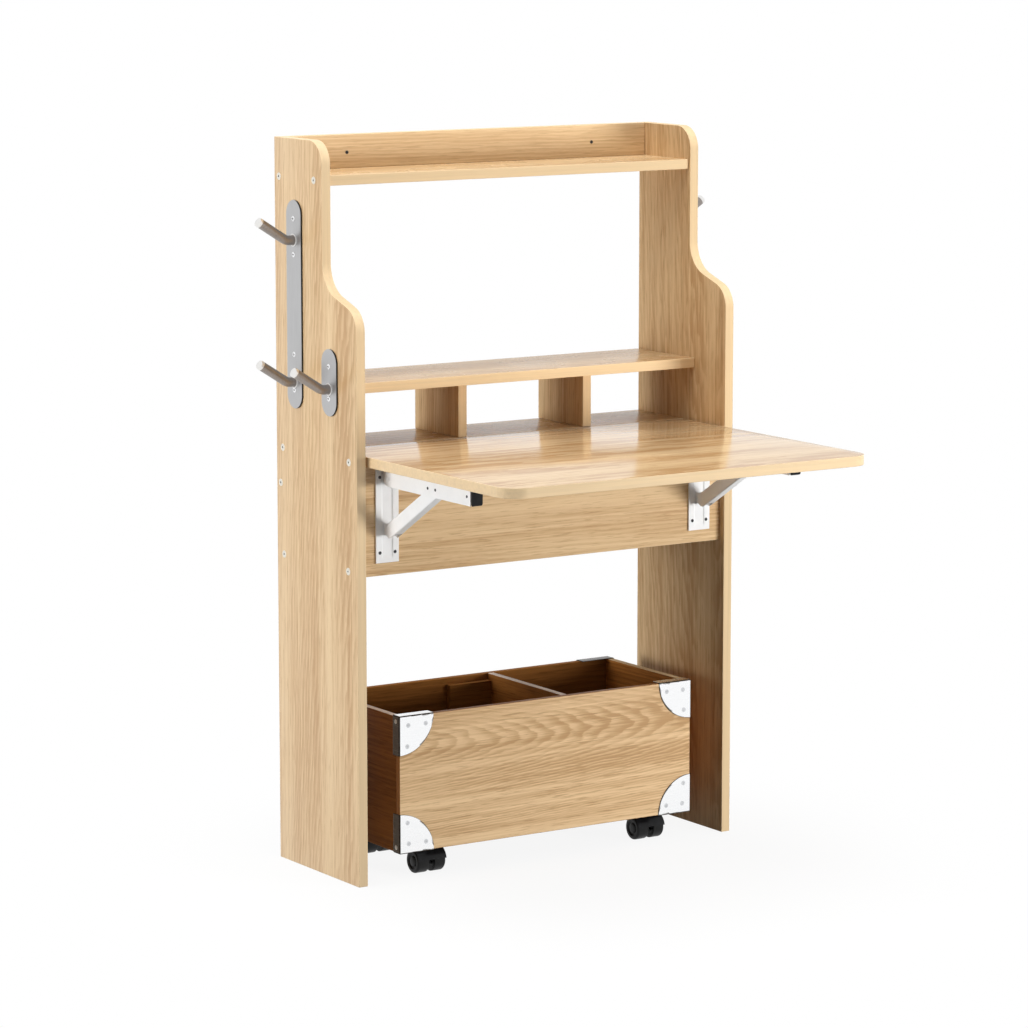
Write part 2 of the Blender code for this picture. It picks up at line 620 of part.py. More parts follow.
def wheel_pair():
    """Twin wheels on one axle, turned about X: half a section on a Screw modifier."""
    inner = WHEEL_SPACE / 2
    outer = inner + WHEEL_WIDTH
    section = [(0, outer - WHEEL_ROUND), (WHEEL_HUB_RADIUS, outer - WHEEL_ROUND)]
    section += [(WHEEL_RADIUS - 2 * WHEEL_ROUND, outer), (WHEEL_RADIUS - WHEEL_ROUND, outer)]
    section += [(WHEEL_RADIUS, outer - WHEEL_ROUND), (WHEEL_RADIUS, inner + WHEEL_ROUND)]
    section += [(WHEEL_RADIUS - WHEEL_ROUND, inner), (AXLE_RADIUS, inner)]
    section += [(radius, -place) for radius, place in reversed(section)]
    form = bmesh.new()
    points = [form.verts.new((radius, 0, place)) for radius, place in section]
    for first, second in zip(points, points[1:]):
        form.edges.new((first, second))
    mesh = bpy.data.meshes.new("wheel_section")
    form.to_mesh(mesh)
    form.free()
    turned = loose(mesh)
    screw = turned.modifiers.new("turned", "SCREW")
    screw.steps = WHEEL_SIDES
    screw.render_steps = WHEEL_SIDES
    screw.use_merge_vertices = True
    screw.merge_threshold = WELD
    pair = evaluated_mesh(turned)
    bpy.data.objects.remove(turned)
    pair.transform(Matrix.Rotation(math.radians(90), 4, "Y"))
    return pair


def build_casters(cart):
    yoke = caster_yoke()
    yoke_mesh = yoke.data
    bpy.data.objects.remove(yoke)
    wheel_mesh = wheel_pair()
    across = CART_END - CASTER_SIDE_INSET
    for row, place in (("front", CART_FRONT - CASTER_FACE_INSET), ("rear", CART_BACK + CASTER_FACE_INSET)):
        for word, side in (("left", -1), ("right", 1)):
            name = f"{row}_{word}_caster"
            stem = Vector((side * across, ahead(place), 0))
            hang(caster_plate(name + "_plate", stem), cart)
            swivel = pivot(name + "_swivel_axis", stem, cart)
            housing = loose(yoke_mesh.copy())
            finish(name + "_yoke", smooth(housing), BLACK_PLASTIC)
            housing.parent = swivel
            axle = pivot(name + "_axle_axis", stem + Vector((0, -CASTER_TRAIL, WHEEL_RADIUS)), swivel)
            wheels = loose(wheel_mesh.copy())
            finish(name + "_wheels", smooth(wheels), BLACK_PLASTIC)
            wheels.parent = axle


def cart_boards():
    """The boards of the storage box: four walls round a floor, a divider and its cleat."""
    end = CART_END
    inside = end - CART_WALL
    fore = ahead(CART_FRONT - CART_WALL - FIT)
    aft = ahead(CART_BACK + CART_WALL + FIT)
    floor_top = CART_UNDERSIDE + CART_WALL
    yield board("cart_front", (-end, ahead(CART_FRONT), CART_UNDERSIDE),
                (end, ahead(CART_FRONT - CART_WALL), CART_TOP))
    yield board("cart_back", (-end, ahead(CART_BACK + CART_WALL), CART_UNDERSIDE),
                (end, ahead(CART_BACK), CART_TOP), WALNUT)
    yield board("cart_left_end", (-end, fore, CART_UNDERSIDE), (-inside, aft, CART_TOP), WALNUT)
    yield board("cart_right_end", (inside, fore, CART_UNDERSIDE), (end, aft, CART_TOP), WALNUT)
    yield board("cart_floor", (FIT - inside, fore, CART_UNDERSIDE), (inside - FIT, aft, floor_top), WALNUT)
    left = CART_LEFT_BAY - inside
    yield board("cart_divider", (left, fore, floor_top + FIT), (left + CART_WALL, aft, CART_TOP), WALNUT)
    cleat_top = CART_TOP - CLEAT_TOP_DROP
    cleat_low = (left - FIT - CLEAT_WIDTH, aft - FIT - CART_WALL, cleat_top - CLEAT_HEIGHT)
    yield board("cart_divider_cleat", cleat_low, (left - FIT, aft - FIT, cleat_top), WALNUT)


def build_cart():
    cart = pivot("cart_slide", (0, ahead((CART_FRONT + CART_BACK) / 2), CART_UNDERSIDE))
    for piece in cart_boards():
        hang(piece, cart)
    for row, face in (("front", 1), ("rear", -1)):
        for height, level in (("upper", 1), ("lower", -1)):
            for word, side in (("left", -1), ("right", 1)):
                hang(corner_guard(f"{row}_{height}_{word}_corner_guard", side, face, level), cart)
    build_casters(cart)


def main():
    clear_scene()
    new_collection("fold_down_desk")
    build_frame()
    build_pegs()
    build_desktop()
    build_cart()


main()
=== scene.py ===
"""Looks of a fold-down desk with an open hutch, coat pegs on both sides and a roll-out storage cart.

Metres, +Z up, and the user sits at -Y. Every new piece is a surface worked out on a grid of two
parameters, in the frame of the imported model, and it rides on the body that carries it.
"""
import math

import bmesh
import bpy
import numpy as np
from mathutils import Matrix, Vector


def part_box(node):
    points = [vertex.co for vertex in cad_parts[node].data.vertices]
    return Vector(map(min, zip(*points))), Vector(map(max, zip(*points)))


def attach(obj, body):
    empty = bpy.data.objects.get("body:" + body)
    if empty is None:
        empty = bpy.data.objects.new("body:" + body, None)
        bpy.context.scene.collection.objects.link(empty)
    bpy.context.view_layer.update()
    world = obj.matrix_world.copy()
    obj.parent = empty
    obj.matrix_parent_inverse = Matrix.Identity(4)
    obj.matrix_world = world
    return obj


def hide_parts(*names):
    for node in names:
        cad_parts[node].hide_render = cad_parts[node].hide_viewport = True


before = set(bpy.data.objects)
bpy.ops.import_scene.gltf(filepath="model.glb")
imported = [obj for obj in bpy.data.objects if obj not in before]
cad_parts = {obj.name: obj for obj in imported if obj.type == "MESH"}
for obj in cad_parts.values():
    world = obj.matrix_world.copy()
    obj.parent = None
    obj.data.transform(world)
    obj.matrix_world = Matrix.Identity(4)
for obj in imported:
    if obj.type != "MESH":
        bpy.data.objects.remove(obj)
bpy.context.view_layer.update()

# View, in metres and degrees
CAMERA_PLACE = (-3.9973, -5.9648, 1.7580)
CAMERA_YAW = 32.947
CAMERA_PITCH = 8.847
CAMERA_LENS = 144.2           # millimetres, on a 36 mm frame

# Boards
ARRIS = 0.0009                # rounding of a board's edges
BOARD_CORNER = 0.0012
PANEL_UPPER_DEPTH = 0.164
PANEL_TOP_RADIUS = 0.042
STEP_DROP = 0.210
STEP_HOLLOW_RADIUS = 0.060
STEP_SHOULDER_RADIUS = 0.045
STEP_SLOPE = math.radians(19)
DESKTOP_CORNER_RADIUS = 0.040
PANEL_SHINE = {"left": 0.75, "right": 0.06}
PANEL_PITH = {"left": 0.02, "right": -0.10}     # where the log's middle runs up each upright

# Folding brackets
SHEET = 0.0016
BEND = 0.0030                 # outer radius of a fold in the bracket's steel
ARM_PIVOT = (0.0737, 0.722)   # Y and Z
ARM_INNER = 0.00965
KNUCKLE_RADIUS = 0.0145
STRUT_PIVOT = (0.0737, 0.6296)
STRUT_HALF_WIDTH = 0.00885
STRUT_HALF_DEPTH = 0.0125
STRUT_REACH = 0.143
STRUT_CLIMB = 0.0844
STRUT_TIP = 0.007
STRUT_TIP_RADIUS = 0.006
STRUT_FLOOR_START = 0.0145
LEG_PLATE = 0.003
GROOVE_DEPTH = 0.0016
GROOVE_HALF_WIDTH = 0.0105
EAR_RADIUS = 0.010
EAR_INNER = 0.00485
EAR_OUTER = 0.00645
GROOVE_SOFT = 0.0025          # how wide the groove's sides fall
GROOVE_END = 0.007            # from the leg's lower end to the groove
GROOVE_END_SOFT = 0.004
EAR_ROUND = 0.0004
PIN_RADIUS = 0.003
PIN_PROUD = 0.0002
ARM_PIN_PROUD = 0.0003
LEG_SCREW_ASIDE = 0.0153
LEG_SCREW_DROP = 0.016        # from the leg's upper end
LEG_SCREW_RISE = 0.018        # from its lower end
ARM_RIVETS = ((-0.0575, 0.7215), (-0.0821, 0.7215), (-0.1825, 0.7230))     # Y and Z

# Release levers, with the cap's reach about the arm's pivot
LEVER_HINGE = (-0.1613, 0.737)
LEVER_PIN_RADIUS = 0.0018
LEVER_STRIP_HALF = 0.006
LEVER_STRIP_SHEET = 0.0008    # half of its thickness, and its lap into the cap
CAP_AHEAD = 0.2680
CAP_ABOVE = 0.0172
CAP_BELOW = 0.0150
CAP_HALF_WIDTH = 0.0105
CAP_TAPER = 0.0015
CAP_TUCK = 0.0008

# Pegs
PEG_RADIUS = 0.0085
PEG_STUB = 0.012
PEG_BEND_RADIUS = 0.020
PEG_TILT = math.radians(32)
PEG_RUN = 0.0615
PEG_FLANGE_RADIUS = 0.0112
PLATE_ARRIS = 0.0007

# Corner guards
GUARD_SHEET = 0.0012
GUARD_BEND = 0.0024
SIDE_SHADE = 0.85             # how far a guard's strip on the cart's end, and a rear guard's top strip, is darkened as painted shade and reflection
GUARD_SCREWS = ((0.0188, 0.0177), (0.0547, 0.0177), (0.0165, 0.0555))     # from the corner, along and up
STRIP_SCREW_DROP = 0.011

# Heads of screws and rivets: radius and height
PLATE_HEAD = (0.0048, 0.0018)
LEG_HEAD = (0.0030, 0.0009)
GUARD_HEAD = (0.0042, 0.0005)
ARM_RIVET = (0.0026, 0.0010)
PIVOT_RIVET = (0.005, 0.0018)
HEAD_SINK = 0.0002            # how far a head reaches into what carries it

# Casters
WHEEL_RADIUS = 0.0215
WHEEL_SPACE = 0.011
WHEEL_WIDTH = 0.0235
FENDER_INNER = 0.0224
FENDER_OUTER = 0.0236
FENDER_SPAN = (30, 170)
WEB_SPAN = (30, 160)
WEB_RADIUS = 0.009
WEB_HALF = 0.0045
COLLAR_RADIUS = 0.008
COLLAR_BOTTOM = 0.04345
AXLE_RADIUS = 0.003
HOUSING_ROUND = 0.0006

# Colours, linear
OAK_PALE = (0.760, 0.555, 0.318)
OAK_DEEP = (0.500, 0.300, 0.138)
OAK_RAIL = (0.590, 0.400, 0.214)
OAK_CART = (0.845, 0.600, 0.344)
OAK_BAND = (0.800, 0.600, 0.360)
# oak in painted shade, for the cart's inner and end boards and its shadowed edges
CART_PAINTED_SHADE_PALE = (0.370, 0.152, 0.037)
CART_PAINTED_SHADE_DEEP = (0.200, 0.072, 0.014)
BROWN_BAND = (0.960, 0.850, 0.780)
WHITE_PAINT = (0.920, 0.925, 0.925)
ZINC = (0.975, 0.982, 0.990)
SCREW_STEEL = (0.960, 0.920, 0.830)
GUARD_SCREW = (0.700, 0.715, 0.735)
GREY_STEEL = (0.570, 0.570, 0.575)
PEG_STEEL = (0.360, 0.325, 0.300)
BRIGHT_STEEL = (0.860, 0.850, 0.830)
DARK_SCREW = (0.10, 0.10, 0.105)
# painted shade in holes, slots and along shadowed rims of steel
STEEL_PAINTED_SHADE = (0.030, 0.030, 0.032)
# painted shade and reflection on zinc: the folds, rims and strips of the guards, and the crosses of screws
ZINC_PAINTED_SHADE = (0.030, 0.019, 0.012)
BLACK_PLASTIC = (0.005, 0.005, 0.0055)
BLACK_TYRE = (0.006, 0.006, 0.006)
FLOOR_BOUNCE = (0.14, 0.14, 0.14)
FLOOR_PALE = (0.85, 0.85, 0.85)

# Lamps: place, aim, width and height in metres, and watts
LAMPS = {"left_softbox": ((-3.9, 0.9, 0.65), (-0.4, 0.2, 0.6), (1.6, 1.2), 105),
         "front_softbox": ((2.1, -3.0, 0.55), (0.1, 0.0, 0.40), (1.8, 0.9), 121),
         "top_softbox": ((-0.5, -0.3, 4.2), (0.0, -0.1, 0.8), (2.4, 1.8), 100)}
AMBIENT_RIM = 0.03            # the dome's strength at its rim and overhead
AMBIENT_TOP = 0.75

# Floor: its half-width, and the white share about the desk, which grows to 1
FLOOR_REACH = 30.0
FLOOR_WHITE = 0.90
FLOOR_NEAR = 0.35
FLOOR_FAR = 0.95

SIDES = (("left", -1), ("right", 1))
ROWS = (("front", -1), ("rear", 1))
LEVELS = (("upper", 1), ("lower", -1))
X, Y, Z = np.eye(3)
HEX_TURN = np.pi / 3


# Grids of points

def arc_run(centre, radius, start, end, steps=6, hollow=False):
    """Points centre + r (cos a, sin a) for a from start to end, in degrees, with their outward normals.
    The normals of a hollow arc point at its centre."""
    angle = np.radians(np.linspace(start, end, steps + 1))
    radial = np.stack([np.cos(angle), np.sin(angle)], axis=1)
    return np.asarray(centre) + radius * radial, -radial if hollow else radial


def outline(*runs):
    """One closed flat outline from several runs: its points and its normals."""
    points, normals = zip(*runs)
    return np.concatenate(points), np.concatenate(normals)


def rounded_rectangle(low, high, radius, steps=4):
    """Four quarter circles, anticlockwise from the lower right, joined by straight sides."""
    (left, bottom), (right, top) = low, high
    return outline(arc_run((right - radius, bottom + radius), radius, -90, 0, steps),
                   arc_run((right - radius, top - radius), radius, 0, 90, steps),
                   arc_run((left + radius, top - radius), radius, 90, 180, steps),
                   arc_run((left + radius, bottom + radius), radius, 180, 270, steps))


def stadium(middle, low, high, radius, steps=20):
    """Two half circles, one above the other, joined by straight sides."""
    return outline(arc_run((middle, high - radius), radius, 0, 180, steps),
                   arc_run((middle, low + radius), radius, 180, 360, steps))


def grid_quads(rows, columns, closed):
    """The four corners of each cell of a grid that is stored row by row."""
    row = np.arange(rows - 1)[:, None] * columns
    column = np.arange(columns if closed else columns - 1)[None, :]
    following = (column + 1) % columns
    cells = [row + column, row + following, row + columns + following, row + columns + column]
    return np.stack(cells, axis=-1).reshape(-1, 4)


class Form:
    """Grids of points and the faces between them, gathered for one mesh. Each point has a zone, from 0
    on the main finish to 1 on a second one, such as an edge band, or painted shade in the socket of a
    screw."""

    def __init__(self):
        self.points, self.zones, self.faces, self.smooth = [], [], [], []
        self.count = 0

    def add(self, grid, closed=True, caps=True, zone=0.0):
        rows, columns = grid.shape[:2]
        quads = grid_quads(rows, columns, closed) + self.count
        self.faces += quads.tolist()
        self.smooth += [True] * len(quads)
        if caps:
            ring = np.arange(columns) + self.count
            self.faces += [ring[::-1].tolist(), (ring + (rows - 1) * columns).tolist()]
            self.smooth += [False, False]
        self.points.append(grid.reshape(-1, 3))
        self.zones.append(np.broadcast_to(zone, (rows, columns)).reshape(-1))
        self.count += rows * columns
        return self


def slab(points, normals, across, low, high, rounding, steps=4):
    """A board from its outline. Ring a of each arris is the outline moved in by r(1 - sin a) at a height
    r(1 - cos a) from the face, for a from 0 to 90 degrees. Returns the rings and their share of edge."""
    angle = np.linspace(0, np.pi / 2, steps + 1)
    inset = rounding * (1 - np.sin(angle))
    rise = rounding * (1 - np.cos(angle))
    keep = 1.6 * rounding
    inset = np.concatenate([inset, [0, 0], inset[::-1]])
    height = np.concatenate([low + rise, [low + keep, high - keep], high - rise[::-1]])
    flat = points[None] - inset[:, None, None] * normals[None]
    rings = np.empty((len(inset), len(points), 3))
    rings[..., across] = height[:, None]
    rings[..., (across + 1) % 3] = flat[..., 0]
    rings[..., (across + 2) % 3] = flat[..., 1]
    edge = np.clip(1.4 * (1 - inset / rounding), 0, 1)
    return rings, np.repeat(edge[:, None], len(points), axis=1)


def crosswise(axis):
    """Two unit vectors square to an axis and to each other."""
    first = np.cross(axis, Z if abs(axis[2]) < 0.9 else X)
    first = first / np.linalg.norm(first)
    return first, np.cross(axis, first)


def turned(profile, at, axis, count=40):
    """A profile of radii and heights turned about an axis:
    P(i, a) = at + r(cos a e1 + sin a e2) + h axis."""
    radius, height = np.asarray(profile, float).T
    angle = np.arange(count) * (2 * np.pi / count)
    first, second = crosswise(axis)
    around = np.cos(angle)[:, None] * first + np.sin(angle)[:, None] * second
    return np.asarray(at) + radius[:, None, None] * around + (height[:, None] * axis)[:, None]


def pin_bar(at, radius, half, count=24):
    """A round pin along X: a radius carried from -half to half."""
    return turned([(radius, -half), (radius, half)], at, X, count)


def ruled(near_face, far_face):
    """A folded sheet between two surfaces: near_face and far_face are each (start, end) lines along the
    fold. Round each station the loop runs near start, near end, far end, far start."""
    return np.stack([near_face[0], near_face[1], far_face[1], far_face[0]], axis=1)


# Pieces

def mesh_of(name, form):
    """One mesh from a form, with its doubles merged and its faces turned outwards."""
    mesh = bpy.data.meshes.new(name)
    mesh.from_pydata(np.concatenate(form.points).tolist(), [], form.faces)
    mesh.polygons.foreach_set("use_smooth", form.smooth)
    zone = mesh.attributes.new("zone", "FLOAT", "POINT")
    zone.data.foreach_set("value", np.concatenate(form.zones).astype(np.float32))
    shape = bmesh.new()
    shape.from_mesh(mesh)
    bmesh.ops.remove_doubles(shape, verts=shape.verts, dist=0.000002)
    bmesh.ops.dissolve_degenerate(shape, edges=shape.edges, dist=0.000001)
    bmesh.ops.recalc_face_normals(shape, faces=shape.faces)
    shape.to_mesh(mesh)
    shape.free()
    mesh.set_sharp_from_angle(angle=math.radians(38))
    return mesh


def piece(name, form, body, slot, material, *nodes):
    """A finished piece: it takes a material, rides on a body and may replace CAD nodes. Its record slot
    is not used."""
    obj = bpy.data.objects.new(name, mesh_of(name, form))
    bpy.context.scene.collection.objects.link(obj)
    obj.data.materials.append(material)
    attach(obj, body)
    if nodes:
        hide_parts(*nodes)
    return obj


def span(name):
    """The lowest and highest corner of a node, as arrays."""
    low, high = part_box(name)
    return np.array(low), np.array(high)


# Shader nodes

def set_inputs(tree, made, inputs):
    """A node's sockets set to values or linked to other sockets."""
    for name, value in inputs.items():
        if isinstance(value, bpy.types.NodeSocket):
            tree.links.new(value, made.inputs[name])
        else:
            made.inputs[name].default_value = value


def node(tree, kind, inputs=None, **settings):
    """A shader node with its settings and its inputs."""
    made = tree.nodes.new(kind)
    for name, value in settings.items():
        setattr(made, name, value)
    set_inputs(tree, made, inputs or {})
    return made


def maths(tree, operation, first, second=0.0, third=0.0):
    return node(tree, "ShaderNodeMath", {0: first, 1: second, 2: third}, operation=operation).outputs[0]


def noise(tree, vector, scale, seed, detail=2.0, roughness=0.5):
    """Smooth noise on a vector stretched by three scales, at a place in a fourth dimension."""
    stretched = node(tree, "ShaderNodeVectorMath", {0: vector, 1: scale}, operation="MULTIPLY").outputs[0]
    inputs = {"Vector": stretched, "W": seed, "Scale": 1.0, "Detail": detail, "Roughness": roughness}
    return node(tree, "ShaderNodeTexNoise", inputs, noise_dimensions="4D").outputs["Fac"]


def between(tree, value, low, high, new_low=0.0, new_high=1.0):
    """A value carried smoothly from one range to another, and held at its ends."""
    inputs = {"Value": value, "From Min": low, "From Max": high, "To Min": new_low, "To Max": new_high}
    return node(tree, "ShaderNodeMapRange", inputs, interpolation_type="SMOOTHSTEP").outputs[0]


def mix(tree, share, first, second):
    """Two colours mixed by a share."""
    ends = [end if isinstance(end, bpy.types.NodeSocket) else (*end, 1.0) for end in (first, second)]
    made = node(tree, "ShaderNodeMix", {"Factor": share, 6: ends[0], 7: ends[1]}, data_type="RGBA")
    return made.outputs[2]


def shaded(colour, share):
    return tuple(share * c for c in colour)


def new_group(name, inputs, outputs):
    """A shader node group with named sockets: returns its tree, its input sockets and its output node."""
    tree = bpy.data.node_groups.new(name, "ShaderNodeTree")
    for socket, kind, value in inputs:
        made = tree.interface.new_socket(socket, in_out="INPUT", socket_type=kind)
        if value is not None:
            made.default_value = value
    for socket, kind in outputs:
        tree.interface.new_socket(socket, in_out="OUTPUT", socket_type=kind)
    return tree, tree.nodes.new("NodeGroupInput").outputs, tree.nodes.new("NodeGroupOutput")


def make_wood_figure():
    """Wood sawn from a log: rings of radius sqrt(y² + h²) about an axis that leans through the board, so
    that h = z + depth + lean x, wavered by noise, with uneven streaks and short dark ticks along x."""
    number, vector = "NodeSocketFloat", "NodeSocketVector"
    tree, given, out = new_group(
        "wood_figure",
        [("Vector", vector, None), ("Seed", number, 0.0), ("Depth", number, 0.05), ("Lean", number, 0.03),
         ("Ring Width", number, 0.006), ("Rings", number, 0.2), ("Waver", number, 0.02)],
        [("Tone", number), ("Streaks", number), ("Ticks", number)])
    place, seed = given["Vector"], given["Seed"]
    parts = node(tree, "ShaderNodeSeparateXYZ", {0: place}).outputs
    slow = maths(tree, "SUBTRACT", noise(tree, place, (1.4, 5.0, 5.0), seed), 0.5)
    quick = maths(tree, "SUBTRACT", noise(tree, place, (9.0, 45.0, 45.0), seed, 4.0, 0.6), 0.5)
    aside = maths(tree, "MULTIPLY_ADD", slow, given["Waver"], parts["Y"])
    below = maths(tree, "MULTIPLY_ADD", parts["X"], given["Lean"], given["Depth"])
    below = maths(tree, "ADD", below, parts["Z"])
    below = maths(tree, "MULTIPLY_ADD", slow, given["Waver"], below)
    squares = maths(tree, "MULTIPLY_ADD", aside, aside, maths(tree, "MULTIPLY", below, below))
    rings = maths(tree, "DIVIDE", maths(tree, "SQRT", squares), given["Ring Width"])
    ring = maths(tree, "FRACT", maths(tree, "MULTIPLY_ADD", quick, 2.2, rings))
    late = maths(tree, "MULTIPLY", between(tree, ring, 0.10, 0.80), between(tree, ring, 1.0, 0.84))
    broad = noise(tree, place, (0.9, 18.0, 18.0), seed, 3.0)
    streaks = noise(tree, place, (2.0, 150.0, 150.0), seed, 5.0, 0.72)
    fine = noise(tree, place, (18.0, 380.0, 380.0), seed, 3.0, 0.6)
    ticks = between(tree, fine, 0.53, 0.68)
    fade = between(tree, broad, 0.36, 0.62, 0.15, 1.0)
    shown = maths(tree, "MULTIPLY", maths(tree, "MULTIPLY", late, fade), given["Rings"])
    tone = maths(tree, "ADD", streaks, shown)
    tone = maths(tree, "MULTIPLY_ADD", broad, 0.55, tone)
    tone = maths(tree, "MULTIPLY_ADD", ticks, 0.16, tone)
    ticked = maths(tree, "MULTIPLY", ticks, between(tree, late, 0.9, 0.1, 0.5, 1.0))
    set_inputs(tree, out, {"Tone": between(tree, tone, 0.55, 1.12), "Streaks": streaks, "Ticks": ticked})
    return tree


def make_fine_wear():
    """Faint marks of handling: cloudy smudges, from noise on a place divided by their size."""
    number, vector = "NodeSocketFloat", "NodeSocketVector"
    tree, given, out = new_group("fine_wear", [("Vector", vector, None), ("Size", number, 0.03)],
                                 [("Smudge", number)])
    closer = maths(tree, "DIVIDE", 1.0, given["Size"])
    scaled = node(tree, "ShaderNodeVectorMath", {0: given["Vector"], "Scale": closer}, operation="SCALE")
    cloud = noise(tree, scaled.outputs[0], (1.0, 1.0, 1.0), 3.0, 4.0, 0.55)
    set_inputs(tree, out, {"Smudge": between(tree, cloud, 0.32, 0.70)})
    return tree


WOOD_FIGURE = make_wood_figure()
FINE_WEAR = make_fine_wear()


def new_material(name):
    """A material with its tree, its Principled shader and its object coordinates."""
    material = bpy.data.materials.new(name)
    material.use_nodes = True
    tree = material.node_tree
    place = node(tree, "ShaderNodeTexCoord").outputs["Object"]
    return material, tree, tree.nodes["Principled BSDF"], place


def smudges(tree, place, size):
    """The cloudy marks of the wear group, at a size."""
    wear = node(tree, "ShaderNodeGroup", {"Vector": place, "Size": size}, node_tree=FINE_WEAR)
    return wear.outputs["Smudge"]


def zone_of(tree):
    """The zone stored on a piece's points."""
    return node(tree, "ShaderNodeAttribute", attribute_name="zone").outputs["Fac"]


def bump(tree, height, strength, distance):
    inputs = {"Height": height, "Strength": strength, "Distance": distance}
    return node(tree, "ShaderNodeBump", inputs).outputs["Normal"]


# The turn that lays a board's grain along x and its width along y
GRAIN_TURN = {"along_x_flat": (0, 0, 0), "along_x_upright": (math.pi / 2, 0, 0),
              "along_z": (0, math.pi / 2, 0), "along_y": (0, 0, -math.pi / 2)}


def wood(name, grain, seed, colours, centre=(0, 0, 0), depth=0.05, lean=0.03, ring=0.006, rings=0.15,
         gloss=0.30, shine=0.35):
    """Printed wood-grain board with a plain edge band where the zone is 1."""
    pale, deep, band = colours
    material, tree, shader, place = new_material(name)
    turn = {"Vector": place, "Rotation": GRAIN_TURN[grain], "Location": centre}
    laid = node(tree, "ShaderNodeMapping", turn).outputs[0]
    log = {"Vector": laid, "Seed": seed, "Depth": depth, "Lean": lean, "Ring Width": ring, "Rings": rings}
    figure = node(tree, "ShaderNodeGroup", log, node_tree=WOOD_FIGURE)
    tone, streaks, ticks = (figure.outputs[kind] for kind in ("Tone", "Streaks", "Ticks"))
    face = mix(tree, tone, pale, deep)
    face = mix(tree, maths(tree, "MULTIPLY", ticks, 0.40), face, shaded(deep, 0.72))
    edge = mix(tree, between(tree, streaks, 0.35, 0.75), band, shaded(band, 0.86))
    zone = zone_of(tree)
    rough = between(tree, smudges(tree, place, 0.12), 0.0, 1.0, gloss - 0.02, gloss + 0.04)
    rough = maths(tree, "MULTIPLY_ADD", ticks, 0.10, rough)
    rough = maths(tree, "MULTIPLY_ADD", zone, 0.20, rough)
    relief = maths(tree, "MULTIPLY_ADD", ticks, -0.6, streaks)
    set_inputs(tree, shader, {"Base Color": mix(tree, zone, face, edge), "Roughness": rough,
                              "Normal": bump(tree, relief, 0.05, 0.0003), "Specular IOR Level": shine})
    return material


def painted_steel(name, colour, gloss):
    """Powder coat: a fine orange-peel skin and cloudy gloss, a little thinner and greyer in smudges."""
    material, tree, shader, place = new_material(name)
    smudge = smudges(tree, place, 0.02)
    thin = maths(tree, "MULTIPLY", smudge, 0.5)
    peel = noise(tree, place, (900.0, 900.0, 900.0), 1.0, 2.0)
    set_inputs(tree, shader, {"Base Color": mix(tree, thin, colour, shaded(colour, 0.93)),
                              "Roughness": between(tree, smudge, 0.0, 1.0, gloss, gloss + 0.08),
                              "Normal": bump(tree, peel, 0.10, 0.0002)})
    return material


def bare_steel(name, colour, gloss, along, second=STEEL_PAINTED_SHADE, contrast=0.2, matt=True):
    """Plain metal with fine lines from rolling or turning, stretched along an axis. Where the zone is 1 it
    has a second colour: painted shade, which is matt, in holes, slots, folds and shadowed rims, or else a
    bright metal."""
    material, tree, shader, place = new_material(name)
    lines = between(tree, noise(tree, place, along, 2.0, 3.0, 0.6), 0.3, 0.7)
    zone = zone_of(tree)
    lined = mix(tree, lines, colour, shaded(colour, 1 - contrast))
    rough = maths(tree, "MULTIPLY_ADD", lines, 0.06, gloss)
    rough = maths(tree, "MULTIPLY_ADD", smudges(tree, place, 0.025), 0.06, rough)
    set_inputs(tree, shader, {"Base Color": mix(tree, zone, lined, second), "Roughness": rough,
                              "Metallic": maths(tree, "SUBTRACT", 1.0, zone) if matt else 1.0,
                              "Specular IOR Level": 0.1,
                              "Normal": bump(tree, lines, 0.2 * contrast, 0.0002)})
    return material


def moulded_plastic(name, colour, gloss):
    """Black moulding with a fine spark-eroded grain, worn to a shine in smudges."""
    material, tree, shader, place = new_material(name)
    smudge = smudges(tree, place, 0.012)
    grain = noise(tree, place, (2200.0, 2200.0, 2200.0), 5.0, 2.0)
    set_inputs(tree, shader, {"Base Color": mix(tree, smudge, colour, shaded(colour, 1.8)),
                              "Roughness": between(tree, smudge, 0.0, 1.0, gloss, gloss + 0.12),
                              "Specular IOR Level": 0.2,
                              "Normal": bump(tree, grain, 0.15, 0.0001)})
    return material


def oak(name, grain, seed, **figure):
    return wood(name, grain, seed, (OAK_PALE, OAK_DEEP, OAK_BAND), **figure)


def oak_in_painted_shade(name, grain, seed, tone, band):
    """Oak painted brown as the shade inside and beside the cart, paler or darker by a tone for the shade on
    each board.
    """
    colours = (shaded(CART_PAINTED_SHADE_PALE, tone), shaded(CART_PAINTED_SHADE_DEEP, tone), band)
    return wood(name, grain, seed, colours, gloss=0.5, shine=0.12)


EVEN = (400.0, 400.0, 400.0)
POWDER_COAT = painted_steel("white_powder_coat", WHITE_PAINT, 0.36)
ZINC_PLATE = bare_steel("bright_zinc_plate", ZINC, 0.20, (40.0, 40.0, 900.0), ZINC_PAINTED_SHADE, contrast=0.03)
GUARD_ZINC = bare_steel("grey_zinc_screws", GUARD_SCREW, 0.34, EVEN, GREY_STEEL, contrast=0.1)
SCREW_ZINC = bare_steel("yellowed_zinc_screws", SCREW_STEEL, 0.40, EVEN)
ROLLED_STEEL = bare_steel("rolled_grey_steel", GREY_STEEL, 0.36, (1200.0, 1200.0, 12.0), contrast=0.1)
TURNED_STEEL = bare_steel("turned_steel", PEG_STEEL, 0.28, (1500.0, 60.0, 60.0), BRIGHT_STEEL, matt=False)
DARK_STEEL = bare_steel("dark_steel_screws", DARK_SCREW, 0.35, EVEN)
MOULDING = moulded_plastic("black_moulding", BLACK_PLASTIC, 0.30)
TYRE = moulded_plastic("black_tyre", BLACK_TYRE, 0.34)


# Boards

